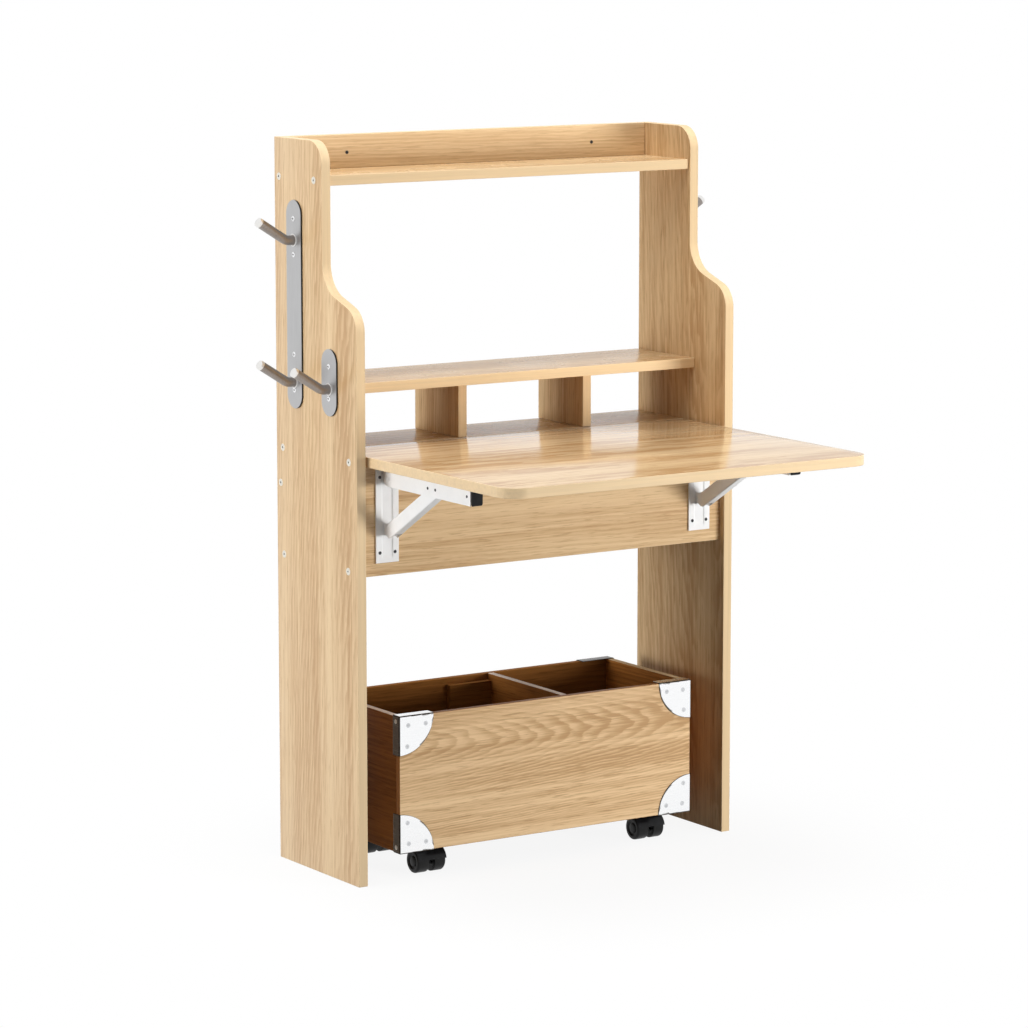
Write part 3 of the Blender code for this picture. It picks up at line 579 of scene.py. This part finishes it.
def panel_outline(low, high):
    """An upright in the plane of Y and Z: a round crown, a hollow and a shoulder where the front edge
    swings out."""
    back, front, top = high[1], low[1], high[2]
    upper = back - PANEL_UPPER_DEPTH
    radii = STEP_HOLLOW_RADIUS + STEP_SHOULDER_RADIUS
    run = upper - front - radii * (1 - math.sin(STEP_SLOPE))
    step_top = top - STEP_DROP
    step_bottom = step_top - radii * math.cos(STEP_SLOPE) - run * math.tan(STEP_SLOPE)
    slope = math.degrees(STEP_SLOPE)
    small = BOARD_CORNER
    return outline(
        arc_run((back - small, low[2] + small), small, -90, 0, 3),
        arc_run((back - small, top - small), small, 0, 90, 3),
        arc_run((upper + PANEL_TOP_RADIUS, top - PANEL_TOP_RADIUS), PANEL_TOP_RADIUS, 90, 180, 24),
        arc_run((upper - STEP_HOLLOW_RADIUS, step_top), STEP_HOLLOW_RADIUS, 0, slope - 90, 24, hollow=True),
        arc_run((front + STEP_SHOULDER_RADIUS, step_bottom), STEP_SHOULDER_RADIUS, 90 + slope, 180, 24),
        arc_run((front + small, low[2] + small), small, 180, 270, 3))


def board(node_name, body, slot, material, flat=None, top_band=False):
    """A board in place of its CAD node, with rounded arrises. Its thickness is its smallest extent. Its
    edge band runs all round, or along the top alone."""
    low, high = span(node_name)
    across = int(np.argmin(high - low))
    plane = [(across + 1) % 3, (across + 2) % 3]
    points, normals = flat or rounded_rectangle(low[plane], high[plane], BOARD_CORNER, 3)
    rings, edge = slab(points, normals, across, low[across], high[across], ARRIS)
    if top_band and across != 2:
        edge = edge * np.clip(normals[:, plane.index(2)], 0, 1)
    form = Form().add(rings, zone=edge)
    return piece(node_name + "_board", form, body, slot, material, node_name)


def make_frame_boards():
    for word, side in SIDES:
        name = word + "_side_panel"
        finish = oak(name + "_oak", "along_z", 1.0 + side, centre=(-0.62, PANEL_PITH[word], 0.0),
                     depth=0.02, lean=0.07, rings=0.20, shine=PANEL_SHINE[word])
        board(name, "desk_frame", "oak_board", finish, panel_outline(*span(name)))
        name = word + "_hutch_divider"
        board(name, "desk_frame", "oak_board", oak(name + "_oak", "along_z", 4.0 + side, shine=0.06))
    level = (("top_shelf", 6.0), ("hutch_shelf", 7.0),
             ("rear_desk_board", 8.0), ("compartment_floor", 9.0))
    for name, seed in level:
        board(name, "desk_frame", "oak_board", oak(name + "_oak", "along_x_flat", seed, gloss=0.26))
    upright = (("top_back_rail", 10.0, OAK_BAND, OAK_RAIL),
               ("front_apron", 11.0, OAK_PALE, OAK_DEEP),
               ("back_stretcher", 12.0, OAK_PALE, OAK_DEEP))
    for name, seed, pale, deep in upright:
        colours = (pale, deep, OAK_BAND)
        finish = wood(name + "_oak", "along_x_upright", seed, colours, centre=(0.1, 0.40, 0.0))
        board(name, "desk_frame", "oak_board", finish)


def make_desktop():
    low, high = span("desktop")
    flat = rounded_rectangle(low[:2], high[:2], DESKTOP_CORNER_RADIUS, 24)
    finish = oak("desktop_oak", "along_x_flat", 14.0, centre=(0.05, 0.3, 0.0), ring=0.012, rings=0.30,
                 gloss=0.13, shine=0.5)
    board("desktop", "desktop", "oak_board", finish, flat)


def make_cart_boards():
    # The front board's edge band is painted dark brown, as the shade beside the cart.
    finish = wood("cart_front_oak", "along_x_upright", 16.0, (OAK_CART, OAK_DEEP, CART_PAINTED_SHADE_PALE),
                  centre=(-0.20, 0.235, 0.0), depth=0.004, lean=0.10, ring=0.004, rings=0.24)
    board("cart_front", "cart", "oak_board", finish)
    # Each board's tone is set by the shade that falls on it: painted shade.
    inner = (("cart_back", "along_x_upright", 17.0, 0.66, CART_PAINTED_SHADE_PALE),
             ("cart_floor", "along_x_flat", 18.0, 0.90, BROWN_BAND),
             ("cart_divider_cleat", "along_x_upright", 19.0, 0.64, CART_PAINTED_SHADE_PALE),
             ("cart_left_end", "along_y", 20.0, 0.80, BROWN_BAND),
             ("cart_right_end", "along_y", 21.0, 1.35, OAK_BAND),
             ("cart_divider", "along_y", 22.0, 1.05, BROWN_BAND))
    for name, grain, seed, tone, band in inner:
        board(name, "cart", "brown_board", oak_in_painted_shade(name + "_painted_shade", grain, seed, tone, band), top_band=True)


# Screws and rivets

def socket_head(at, axis, radius, hole, proud=0.0009):
    """A furniture screw: a low cone with a round rim and a six-sided socket, whose radius is
    apothem / cos(a mod 60 degrees - 30 degrees)."""
    profile = [(radius, -HEAD_SINK), (radius, 0.4 * proud), (0.94 * radius, 0.85 * proud),
               (0.86 * radius, proud), (1.16 * hole, proud), (1.04 * hole, 0.9 * proud),
               (hole, 0.12 * proud)]
    count = 48
    grid = turned(profile, at, axis, count)
    angle = np.arange(count) * (2 * np.pi / count)
    six = math.cos(HEX_TURN / 2) / np.cos(np.mod(angle, HEX_TURN) - HEX_TURN / 2)
    centre = np.asarray(at) + np.outer([h for _, h in profile], axis)[:, None]
    shrink = np.ones((len(profile), count))
    shrink[4:] = six
    # The socket's floor is painted dark, as the shade in the hole.
    zone = np.zeros(len(profile))
    zone[-1] = 1.0
    return centre + (grid - centre) * shrink[..., None], zone[:, None]


def cross_head(at, axis, radius, height):
    """A pan head: height h sqrt(1 - (r/R)²) with a cross cut into it where |x| or |y| is small, painted
    darker as the shade in its slots.
    """
    share = np.concatenate([[1.0, 1.0], np.linspace(0.97, 0.06, 12)])
    count = 40
    angle = np.arange(count) * (2 * np.pi / count)
    rise = height * (0.35 + 0.65 * np.sqrt(1 - np.minimum(share, 1) ** 2))
    rise[0] = -HEAD_SINK
    arm = np.minimum(np.abs(np.cos(angle)), np.abs(np.sin(angle)))[None, :] * share[:, None]
    cut = np.clip((0.17 - arm) / 0.08, 0, 1) * np.clip((0.66 - share[:, None]) / 0.1, 0, 1)
    first, second = crosswise(axis)
    around = np.cos(angle)[:, None] * first + np.sin(angle)[:, None] * second
    up = rise[:, None] - 0.6 * height * cut
    grid = np.asarray(at) + radius * share[:, None, None] * around + up[..., None] * axis
    # The zone paints the cross dark: painted shade.
    return grid, 0.9 * cut


def rivet_dome(at, axis, radius, height):
    """A round rivet head: r = R cos a and h = H sin a."""
    angle = np.linspace(0, np.radians(84), 8)
    profile = np.stack([radius * np.cos(angle), height * np.sin(angle)], axis=1)
    profile = np.concatenate([[(radius, -HEAD_SINK)], profile])
    return turned(profile, at, axis, 32), 0.0


def make_heads(name, spots, head, body, slot, material):
    """One piece that holds a head at each spot."""
    form = Form()
    for spot in spots:
        grid, zone = head(spot)
        form.add(grid, zone=zone)
    return piece(name, form, body, slot, material)


# Places of the screws in a side panel: ahead of the back edge, and up
PANEL_SCREWS = ((0.016, 1.231), (0.137, 1.231), (0.022, 0.750), (0.251, 0.750), (0.014, 0.686),
                (0.024, 0.558), (0.247, 0.558))
PANEL_SCREW_RADIUS = 0.0066
SOCKET_RADIUS = 0.0019
RAIL_SCREW_RADIUS = 0.0032
RAIL_SCREWS = ((-0.262, 1.268), (0.262, 1.268))
PLATE_SCREW_ENDS = (0.033, 0.096)     # from the round end of a long plate
SHORT_PLATE_SCREW_END = 0.031


def make_frame_screws():
    for word, side in SIDES:
        low, high = span(word + "_side_panel")
        face = high[0] if side > 0 else low[0]
        spots = [(face, high[1] - ahead, up) for ahead, up in PANEL_SCREWS]
        make_heads(word + "_panel_screws", spots,
                   lambda at: socket_head(at, side * X, PANEL_SCREW_RADIUS, SOCKET_RADIUS),
                   "desk_frame", "grey_steel", SCREW_ZINC)
    face = span("top_back_rail")[0][1]
    spots = [(across, face, up) for across, up in RAIL_SCREWS]
    make_heads("back_rail_screws", spots,
               lambda at: socket_head(at, -Y, RAIL_SCREW_RADIUS, SOCKET_RADIUS),
               "desk_frame", "grey_steel", DARK_STEEL)


# Pegs

def peg_grid(root, side, height, middle):
    """A round bar along a level stub, an arc and a rising run:
    P(s, a) = path(s) + r(s)(cos a n(s) + sin a y). A thin flange stands on the plate and the tip is
    chamfered. Returns the zone too: 1 on bright metal."""
    bend = np.linspace(0, PEG_TILT, 12)
    stub = np.array([0.0, 0.0027, 0.0027, 0.0029, 0.0043, 0.0046, 0.0046, 0.008, PEG_STUB])
    out = np.concatenate([stub, PEG_STUB + PEG_BEND_RADIUS * np.sin(bend[1:])])
    up = np.concatenate([np.zeros_like(stub), PEG_BEND_RADIUS * (1 - np.cos(bend[1:]))])
    tip = np.array([0.1, 0.5, 0.88, 0.90, 0.96, 0.982, 0.994, 1.0]) * PEG_RUN
    out = np.concatenate([out, out[-1] + tip * math.cos(PEG_TILT)])
    up = np.concatenate([up, up[-1] + tip * math.sin(PEG_TILT)])
    tilt = np.concatenate([np.zeros_like(stub), bend[1:], np.full(len(tip), PEG_TILT)])
    radius = np.full(len(out), PEG_RADIUS)
    radius[2:6] = PEG_FLANGE_RADIUS - np.array([0.0004, 0.0, 0.0, 0.0004])
    radius[-4:] -= np.array([0.0, 0.0004, 0.0010, 0.0018])
    zone = np.zeros(len(out))
    zone[2:6] = 1.0
    zone[-5:] = 1.0
    count = 40
    angle = np.arange(count) * (2 * np.pi / count)
    path = np.stack([root + side * out, np.full_like(out, middle), height + up], axis=1)
    square = np.stack([-side * np.sin(tilt), np.zeros_like(tilt), np.cos(tilt)], axis=1)
    around = np.cos(angle)[None, :, None] * square[:, None] + np.sin(angle)[None, :, None] * Y
    return path[:, None] + radius[:, None, None] * around, zone[:, None]


def make_peg_plate(name, side, ends):
    """A strip with round ends and a screw at each distance from both of its ends."""
    low, high = span(name)
    middle = (low[1] + high[1]) / 2
    points, normals = stadium(middle, low[2], high[2], (high[1] - low[1]) / 2)
    rings, edge = slab(points, normals, 0, low[0], high[0], PLATE_ARRIS)
    # The rim that faces the front is painted dark, as the plate's contact shadow.
    painted_shadow_rim = edge * np.clip(-2 * normals[:, 0], 0, 1)
    form = Form().add(rings, zone=painted_shadow_rim)
    piece(name + "_strip", form, "desk_frame", "grey_steel", ROLLED_STEEL, name)
    face = high[0] if side > 0 else low[0]
    spots = [(face, middle, up) for end in ends for up in (low[2] + end, high[2] - end)]
    make_heads(name + "_screws", spots, lambda at: cross_head(at, side * X, *PLATE_HEAD),
               "desk_frame", "grey_steel", ZINC_PLATE)


def make_pegs():
    for word, side in SIDES:
        make_peg_plate(word + "_long_peg_plate", side, PLATE_SCREW_ENDS)
    make_peg_plate("left_short_peg_plate", -1, (SHORT_PLATE_SCREW_END,))
    pegs = ("left_upper_peg", "left_lower_peg", "left_short_peg", "right_upper_peg", "right_lower_peg")
    for name in pegs:
        low, high = span(name)
        side = 1 if low[0] > 0 else -1
        root = low[0] if side > 0 else high[0]
        grid, zone = peg_grid(root, side, low[2] + PEG_RADIUS, (low[1] + high[1]) / 2)
        piece(name + "_bar", Form().add(grid, zone=zone), "desk_frame", "peg_steel", TURNED_STEEL, name)


# Folding brackets

def channel(half_width, depth, steps=8):
    """Stations round a channel with its web at the top: half-width and height of its outer and inner skin,
    down one cheek, round a fold, along the web and down the other cheek."""
    cheek = np.linspace(-depth, -BEND, 14)
    fold = np.radians(np.linspace(180, 90, steps + 1))[1:]
    web = np.linspace(-half_width + BEND, 0, 4)[1:]
    skins = []
    for inward in (0.0, SHEET):
        radius = BEND - inward
        across = np.concatenate([np.full_like(cheek, -half_width + inward),
                                 -half_width + BEND + radius * np.cos(fold), web])
        height = np.concatenate([cheek, -BEND + radius * np.sin(fold), np.full_like(web, -inward)])
        skins.append(np.stack([np.concatenate([across, -across[-2::-1]]),
                               np.concatenate([height, height[-2::-1]])]))
    return skins


def make_arm(word, centre):
    """A channel under the desktop: each line of the fold runs from the knuckle, where it starts at
    y = pivot + sqrt(R² - h²) below the pivot, to the open end."""
    name = word + "_bracket_arm"
    low, high = span(name)
    pivot_y, pivot_z = ARM_PIVOT
    faces = []
    for across, height in channel((high[0] - low[0]) / 2, high[2] - low[2]):
        up = high[2] + height
        hang = np.clip(pivot_z - up, 0, KNUCKLE_RADIUS)
        rear = pivot_y + np.sqrt(KNUCKLE_RADIUS ** 2 - hang ** 2)
        start = np.stack([centre + across, rear, up], axis=1)
        end = np.stack([centre + across, np.full_like(up, low[1]), up], axis=1)
        faces.append((start, end))
    piece(name + "_channel", Form().add(ruled(*faces)), "desktop", "white_steel", POWDER_COAT, name)
    cheek = (high[0] - low[0]) / 2
    spots = [(centre + turn * cheek, *place) for turn in (-1, 1) for place in ARM_RIVETS]
    make_heads(word + "_arm_rivets", spots,
               lambda at: rivet_dome(at, X if at[0] > centre else -X, *ARM_RIVET),
               "desktop", "grey_steel", DARK_STEEL)


def make_strut(word, centre):
    """A channel with its web underneath. At height h from its middle line it starts at -sqrt(R² - h²), or
    past the ears on the web, ends at the length between its pins plus a blunt tip with corners of radius r,
    sqrt(r² - (|h| - R + r)²), and is tilted into place."""
    name = word + "_bracket_strut"
    length = math.hypot(STRUT_REACH, STRUT_CLIMB)
    slope = math.atan2(STRUT_CLIMB, STRUT_REACH)
    skins = channel(STRUT_HALF_WIDTH, 2 * STRUT_HALF_DEPTH)
    web = np.abs(skins[0][0]) < STRUT_HALF_WIDTH - SHEET
    faces = []
    for across, height in skins:
        up = -(height + STRUT_HALF_DEPTH)
        start = -np.sqrt(np.maximum(STRUT_HALF_DEPTH ** 2 - up ** 2, 0))
        start = np.where(web, STRUT_FLOOR_START, start)
        beyond = np.clip(np.abs(up) - STRUT_HALF_DEPTH + STRUT_TIP_RADIUS, 0, STRUT_TIP_RADIUS)
        end = length + STRUT_TIP - STRUT_TIP_RADIUS + np.sqrt(STRUT_TIP_RADIUS ** 2 - beyond ** 2)
        lines = []
        for along in (start, end):
            ahead = along * math.cos(slope) - up * math.sin(slope)
            rise = along * math.sin(slope) + up * math.cos(slope)
            lines.append(np.stack([centre + across, STRUT_PIVOT[0] - ahead, STRUT_PIVOT[1] + rise], axis=1))
        faces.append(lines)
    form = Form().add(ruled(*faces))
    top = (centre, STRUT_PIVOT[0] - STRUT_REACH, STRUT_PIVOT[1] + STRUT_CLIMB)
    form.add(pin_bar(top, PIN_RADIUS, STRUT_HALF_WIDTH + PIN_PROUD))
    piece(name + "_channel", form, word + "_strut", "white_steel", POWDER_COAT, name)


def make_leg(word, centre):
    """A plate with a pressed groove, y = front + depth × a smooth window in x and z, with two pairs of
    ears and the pins through them."""
    name = word + "_bracket_leg"
    low, high = span(name)
    back = high[1]
    front = back - LEG_PLATE
    half = (high[0] - low[0]) / 2
    across = np.linspace(-half, half, 61)
    up = np.linspace(low[2], high[2], 60)
    side_fall = np.clip((GROOVE_HALF_WIDTH - np.abs(across)) / GROOVE_SOFT + 0.5, 0, 1)
    end_fall = np.clip((up - low[2] - GROOVE_END) / GROOVE_END_SOFT, 0, 1)
    depth = np.outer(side_fall ** 2 * (3 - 2 * side_fall), end_fall ** 2 * (3 - 2 * end_fall))
    skin = np.empty((*depth.shape, 3))
    skin[..., 0] = centre + across[:, None]
    skin[..., 1] = front + GROOVE_DEPTH * depth
    skin[..., 2] = up
    rear = skin.copy()
    rear[..., 1] = back
    form = Form().add(np.concatenate([skin, rear[:, ::-1]], axis=1))
    heel = front + 0.5 * LEG_PLATE
    for place in (ARM_PIVOT, STRUT_PIVOT):
        bottom, top = place[1] - EAR_RADIUS, place[1] + EAR_RADIUS
        ear = outline(arc_run((heel - EAR_ROUND, bottom + EAR_ROUND), EAR_ROUND, -90, 0, 2),
                      arc_run((heel - EAR_ROUND, top - EAR_ROUND), EAR_ROUND, 0, 90, 2),
                      arc_run(place, EAR_RADIUS, 90, 270, 28))
        for turn in (-1, 1):
            inner, outer = sorted((centre + turn * EAR_INNER, centre + turn * EAR_OUTER))
            form.add(slab(*ear, 0, inner, outer, EAR_ROUND, 3)[0])
    form.add(pin_bar((centre, *STRUT_PIVOT), PIN_RADIUS, STRUT_HALF_WIDTH + PIN_PROUD))
    reach = ARM_INNER + SHEET + ARM_PIN_PROUD
    form.add(pin_bar((centre, *ARM_PIVOT), PIN_RADIUS, reach))
    for turn in (-1, 1):
        form.add(rivet_dome((centre + turn * reach, *ARM_PIVOT), turn * X, *PIVOT_RIVET)[0])
    piece(name + "_pressing", form, "desk_frame", "white_steel", POWDER_COAT, name)
    heights = (high[2] - LEG_SCREW_DROP, low[2] + LEG_SCREW_RISE)
    spots = [(centre + turn * LEG_SCREW_ASIDE, front, height) for turn in (-1, 1) for height in heights]
    make_heads(word + "_leg_screws", spots, lambda at: cross_head(at, -Y, *LEG_HEAD),
               "desk_frame", "grey_steel", DARK_STEEL)


def make_lever(word, centre):
    """An end cap lofted along Y through rounded rectangles that shrink to its front, on a thin strip."""
    name = word + "_release_lever"
    pivot_y, pivot_z = ARM_PIVOT
    near, far = pivot_y - CAP_AHEAD, span(name)[0][1]
    share = np.array([0.0, 0.06, 0.2, 0.5, 0.8, 0.92, 0.98, 1.0])
    tuck = CAP_TUCK * np.array([1.0, 0.4, 0.0, 0.0, 0.0, 0.35, 0.8, 1.25])
    top = pivot_z + CAP_ABOVE - CAP_TAPER * share
    bottom = pivot_z - CAP_BELOW + CAP_TAPER * share
    unit = rounded_rectangle((-1.0, -1.0), (1.0, 1.0), 0.25, 6)[0]
    grid = np.empty((len(share), len(unit), 3))
    grid[..., 0] = centre + (CAP_HALF_WIDTH - tuck)[:, None] * unit[:, 0]
    grid[..., 1] = (near + share * (far - near))[:, None]
    grid[..., 2] = ((top + bottom) / 2)[:, None] + ((top - bottom) / 2 - tuck)[:, None] * unit[:, 1]
    form = Form().add(grid)
    hinge_y, hinge_z = LEVER_HINGE
    half, sheet = LEVER_STRIP_HALF, LEVER_STRIP_SHEET
    strip = rounded_rectangle((centre - half, near - sheet), (centre + half, hinge_y), 0.002)
    form.add(slab(*strip, 2, hinge_z - sheet, hinge_z + sheet, 0.0003, 2)[0])
    form.add(pin_bar((centre, *LEVER_HINGE), LEVER_PIN_RADIUS, ARM_INNER - ARM_PIN_PROUD, 20))
    piece(name + "_cap", form, word + "_lever", "black_plastic", MOULDING, name)


def make_brackets():
    for word, _ in SIDES:
        low, high = span(word + "_bracket_arm")
        centre = (low[0] + high[0]) / 2
        make_arm(word, centre)
        make_strut(word, centre)
        make_leg(word, centre)
        make_lever(word, centre)


# Corner guards

def make_guard(name, tip, inward, radius, flange, top_shade):
    """A pressed box corner on three faces, with sharp points q pulled onto a round one:
    P = c + b(q - c)/|q - c|, where c is q held at least a bend radius b from each face. The main face is a
    quarter disc, (R t, 0, s sqrt(R² - (R t)²)), and the strips are (R t, depth, 0) and (0, depth, R t). The
    zone is painted shade on the folds and the rim, painted shade and reflection on the side strip, and as
    given on the other strip."""
    bend = GUARD_BEND
    fold = np.linspace(0, 1.2 * bend, 6)[:-1]
    share = np.concatenate([fold / radius, np.linspace(1.2 * bend / radius, 0.985, 17), [1.0]])
    depth = np.concatenate([fold, np.linspace(1.2 * bend, 0.96 * flange, 5), [flange]])
    wide, tall = np.meshgrid(share * radius, share, indexing="ij")
    chord = np.sqrt(np.maximum(radius ** 2 - wide ** 2, 0))
    disc = np.stack([wide, np.zeros_like(wide), tall * chord], axis=-1)
    run, back = np.meshgrid(share * radius, depth, indexing="ij")
    zero = np.zeros_like(run)
    strips = (np.stack([run, back, zero], axis=-1), np.stack([zero, back, run], axis=-1))
    form = Form()
    for sharp, shade in ((disc, 0.0), (strips[0], top_shade), (strips[1], SIDE_SHADE)):
        core = np.maximum(sharp, bend)
        away = sharp - core
        rounded = core + bend * away / np.linalg.norm(away, axis=-1, keepdims=True)
        folds = np.sort(sharp, axis=-1)[..., 1] < 0.9 * bend
        rim = np.hypot(sharp[..., 0], sharp[..., 2]) > 0.99 * radius
        zone = np.where(folds | rim, 1.0, shade)
        form.add(tip + rounded * inward, closed=False, caps=False, zone=zone)
    obj = piece(name + "_pressing", form, "cart", "white_steel", ZINC_PLATE, name)
    widest = max(obj.data.polygons, key=lambda face: face.area)
    if widest.normal.dot((0, inward[1], 0)) > 0:
        obj.data.flip_normals()
    wall = obj.modifiers.new("sheet", "SOLIDIFY")
    wall.thickness = GUARD_SHEET
    wall.offset = -1


def make_guards():
    for row, face in ROWS:
        heads = []
        for height, level in LEVELS:
            for word, side in SIDES:
                name = f"{row}_{height}_{word}_corner_guard"
                low, high = span(name)
                tip = np.where(np.array([side, face, level]) > 0, high, low)
                inward = -np.array([side, face, level], float)
                flange = high[1] - low[1]
                # The rear guards' top strips are painted dark, as shade and reflection, like the side
                # strips.
                top_shade = 0.0 if face < 0 else SIDE_SHADE
                make_guard(name, tip, inward, high[2] - low[2], flange, top_shade)
                heads += [(tip + inward * (u, 0, v), face * Y) for u, v in GUARD_SCREWS]
                heads.append((tip + inward * (0, 0.55 * flange, STRIP_SCREW_DROP), side * X))
        make_heads(row + "_guard_screws", heads, lambda head: cross_head(*head, *GUARD_HEAD),
                   "cart", "grey_steel", GUARD_ZINC)


# Casters

def wheel_profile():
    """Radius and distance from the middle of the pair: inner wall, tread with round shoulders, dished
    outer wall and a hub cap."""
    inner, outer = WHEEL_SPACE / 2, WHEEL_SPACE / 2 + WHEEL_WIDTH
    turn = np.radians(np.linspace(0, 90, 8))
    start = [(AXLE_RADIUS, inner + 0.0006), (0.0125, inner + 0.0006), (0.0146, inner)]
    small, large = 0.0015, 0.0042
    inner_round = np.stack([WHEEL_RADIUS - small + small * np.sin(turn),
                            inner + small - small * np.cos(turn)], axis=1)
    outer_round = np.stack([WHEEL_RADIUS - large + large * np.cos(turn),
                            outer - large + large * np.sin(turn)], axis=1)
    dish = [(0.0142, outer - 0.0001), (0.0134, outer - 0.0012), (0.0108, outer - 0.0020),
            (0.0097, outer - 0.0021), (0.0090, outer - 0.0009), (0.0072, outer - 0.0003),
            (0.0036, outer), (0.0006, outer)]
    return np.concatenate([start, inner_round, outer_round, dish])


def make_caster(row, word):
    """A pair of wheels on one axle, each its profile turned about X, and their housing."""
    name = f"{row}_{word}_caster"
    low, high = span(name + "_wheels")
    axle = (low + high) / 2
    profile = wheel_profile()
    form = Form()
    for side in (-1, 1):
        form.add(turned(profile, axle, side * X, 64))
    form.add(pin_bar(axle, AXLE_RADIUS, WHEEL_SPACE / 2), caps=False)
    piece(name + "_tyres", form, name + "_wheel_pair", "black_plastic", TYRE, name + "_wheels")
    make_housing(name, axle)


def make_housing(name, axle):
    """A hood carried round the axle, P(a, u) = axle + r(u)(cos a, sin a) at x(u), with a web between the
    wheels and a turned collar about the stem."""
    low, high = span(name + "_yoke")
    half = (high[0] - low[0]) / 2
    section = rounded_rectangle((-half, FENDER_INNER), (half, FENDER_OUTER), HOUSING_ROUND, 4)[0]
    angle = np.radians(np.linspace(*FENDER_SPAN, 48))
    hood = np.empty((len(angle), len(section), 3))
    hood[..., 0] = axle[0] + section[:, 0]
    hood[..., 1] = axle[1] + np.cos(angle)[:, None] * section[:, 1]
    hood[..., 2] = axle[2] + np.sin(angle)[:, None] * section[:, 1]
    form = Form().add(hood)
    middle = (FENDER_INNER + FENDER_OUTER) / 2
    web = outline(arc_run(axle[1:], WEB_RADIUS, 180, 360, 20), arc_run(axle[1:], middle, *WEB_SPAN, 24))
    form.add(slab(*web, 0, axle[0] - WEB_HALF, axle[0] + WEB_HALF, HOUSING_ROUND, 3)[0])
    plate_low, plate_high = span(name + "_plate")
    stem = ((plate_low[0] + plate_high[0]) / 2, (plate_low[1] + plate_high[1]) / 2, 0.0)
    collar = [(0.006, COLLAR_BOTTOM), (COLLAR_RADIUS, COLLAR_BOTTOM + 0.0004),
              (COLLAR_RADIUS, high[2] - 0.0005), (COLLAR_RADIUS - 0.0005, high[2]), (0.0046, high[2])]
    form.add(turned(collar, stem, Z, 40))
    piece(name + "_housing", form, name, "black_plastic", MOULDING, name + "_yoke")
    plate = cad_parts[name + "_plate"]
    plate.data.materials.clear()
    plate.data.materials.append(ROLLED_STEEL)


# Studio

def seen_rays(tree):
    """1 on rays from the camera, in reflections and through glass, and 0 on rays that carry light."""
    path = node(tree, "ShaderNodeLightPath").outputs
    seen = maths(tree, "MAXIMUM", path["Is Camera Ray"], path["Is Glossy Ray"])
    return maths(tree, "MAXIMUM", seen, path["Is Transmission Ray"])


def make_floor():
    """A floor that is seen white with the object's soft shadow, and throws little light back."""
    mesh = bpy.data.meshes.new("floor")
    corners = [(x * FLOOR_REACH, y * FLOOR_REACH, 0) for x, y in ((-1, -1), (1, -1), (1, 1), (-1, 1))]
    mesh.from_pydata(corners, [], [(0, 1, 2, 3)])
    floor = bpy.data.objects.new("floor", mesh)
    bpy.context.scene.collection.objects.link(floor)
    material, tree, shader, place = new_material("pale_floor")
    seen = seen_rays(tree)
    set_inputs(tree, shader, {"Base Color": mix(tree, seen, FLOOR_BOUNCE, FLOOR_PALE), "Roughness": 0.9})
    shown = node(tree, "ShaderNodeEmission", {"Color": (1.0, 1.0, 1.0, 1.0), "Strength": 1.0})
    away = node(tree, "ShaderNodeVectorMath", {0: place}, operation="LENGTH").outputs["Value"]
    white = between(tree, away, FLOOR_NEAR, FLOOR_FAR, FLOOR_WHITE, 1.0)
    share = maths(tree, "MULTIPLY", seen, white)
    both = node(tree, "ShaderNodeMixShader", {0: share, 1: shader.outputs[0], 2: shown.outputs[0]})
    tree.links.new(both.outputs[0], tree.nodes["Material Output"].inputs["Surface"])
    floor.data.materials.append(material)


def make_world():
    """White to the camera and in reflections, and on everything else a dome that fades towards its rim."""
    world = bpy.data.worlds.new("studio")
    bpy.context.scene.world = world
    world.use_nodes = True
    tree = world.node_tree
    tree.nodes.clear()
    white = node(tree, "ShaderNodeBackground", {"Color": (1.0, 1.0, 1.0, 1.0), "Strength": 1.0})
    direction = node(tree, "ShaderNodeTexCoord").outputs["Generated"]
    height = node(tree, "ShaderNodeSeparateXYZ", {0: direction}).outputs["Z"]
    dome = between(tree, height, 0.0, 1.0, AMBIENT_RIM, AMBIENT_TOP)
    soft = node(tree, "ShaderNodeBackground", {"Color": (1.0, 1.0, 1.0, 1.0), "Strength": dome})
    both = node(tree, "ShaderNodeMixShader", {0: seen_rays(tree), 1: soft.outputs[0], 2: white.outputs[0]})
    out = node(tree, "ShaderNodeOutputWorld")
    tree.links.new(both.outputs[0], out.inputs["Surface"])


def make_lamp(name, place, aim, size, power):
    """A soft box that faces its aim and doesn't show in reflections."""
    lamp = bpy.data.lights.new(name, "AREA")
    lamp.shape = "RECTANGLE"
    lamp.size, lamp.size_y = size
    lamp.energy = power
    obj = bpy.data.objects.new(name, lamp)
    bpy.context.scene.collection.objects.link(obj)
    obj.location = place
    away = obj.location - type(obj.location)(aim)
    obj.rotation_euler = away.to_track_quat("Z", "Y").to_euler()
    obj.visible_glossy = False


def make_studio():
    make_floor()
    make_world()
    for name, settings in LAMPS.items():
        make_lamp(name, *settings)
    scene = bpy.context.scene
    scene.view_settings.view_transform = "Standard"
    camera = bpy.data.objects.new("camera", bpy.data.cameras.new("camera"))
    scene.collection.objects.link(camera)
    camera.data.sensor_width = 36.0
    camera.data.lens = CAMERA_LENS
    camera.location = CAMERA_PLACE
    camera.rotation_euler = (math.radians(90 - CAMERA_PITCH), 0, -math.radians(CAMERA_YAW))
    scene.camera = camera


make_frame_boards()
make_desktop()
make_cart_boards()
make_frame_screws()
make_pegs()
make_brackets()
make_guards()
for row_name, _ in ROWS:
    for side_name, _ in SIDES:
        make_caster(row_name, side_name)
make_studio()
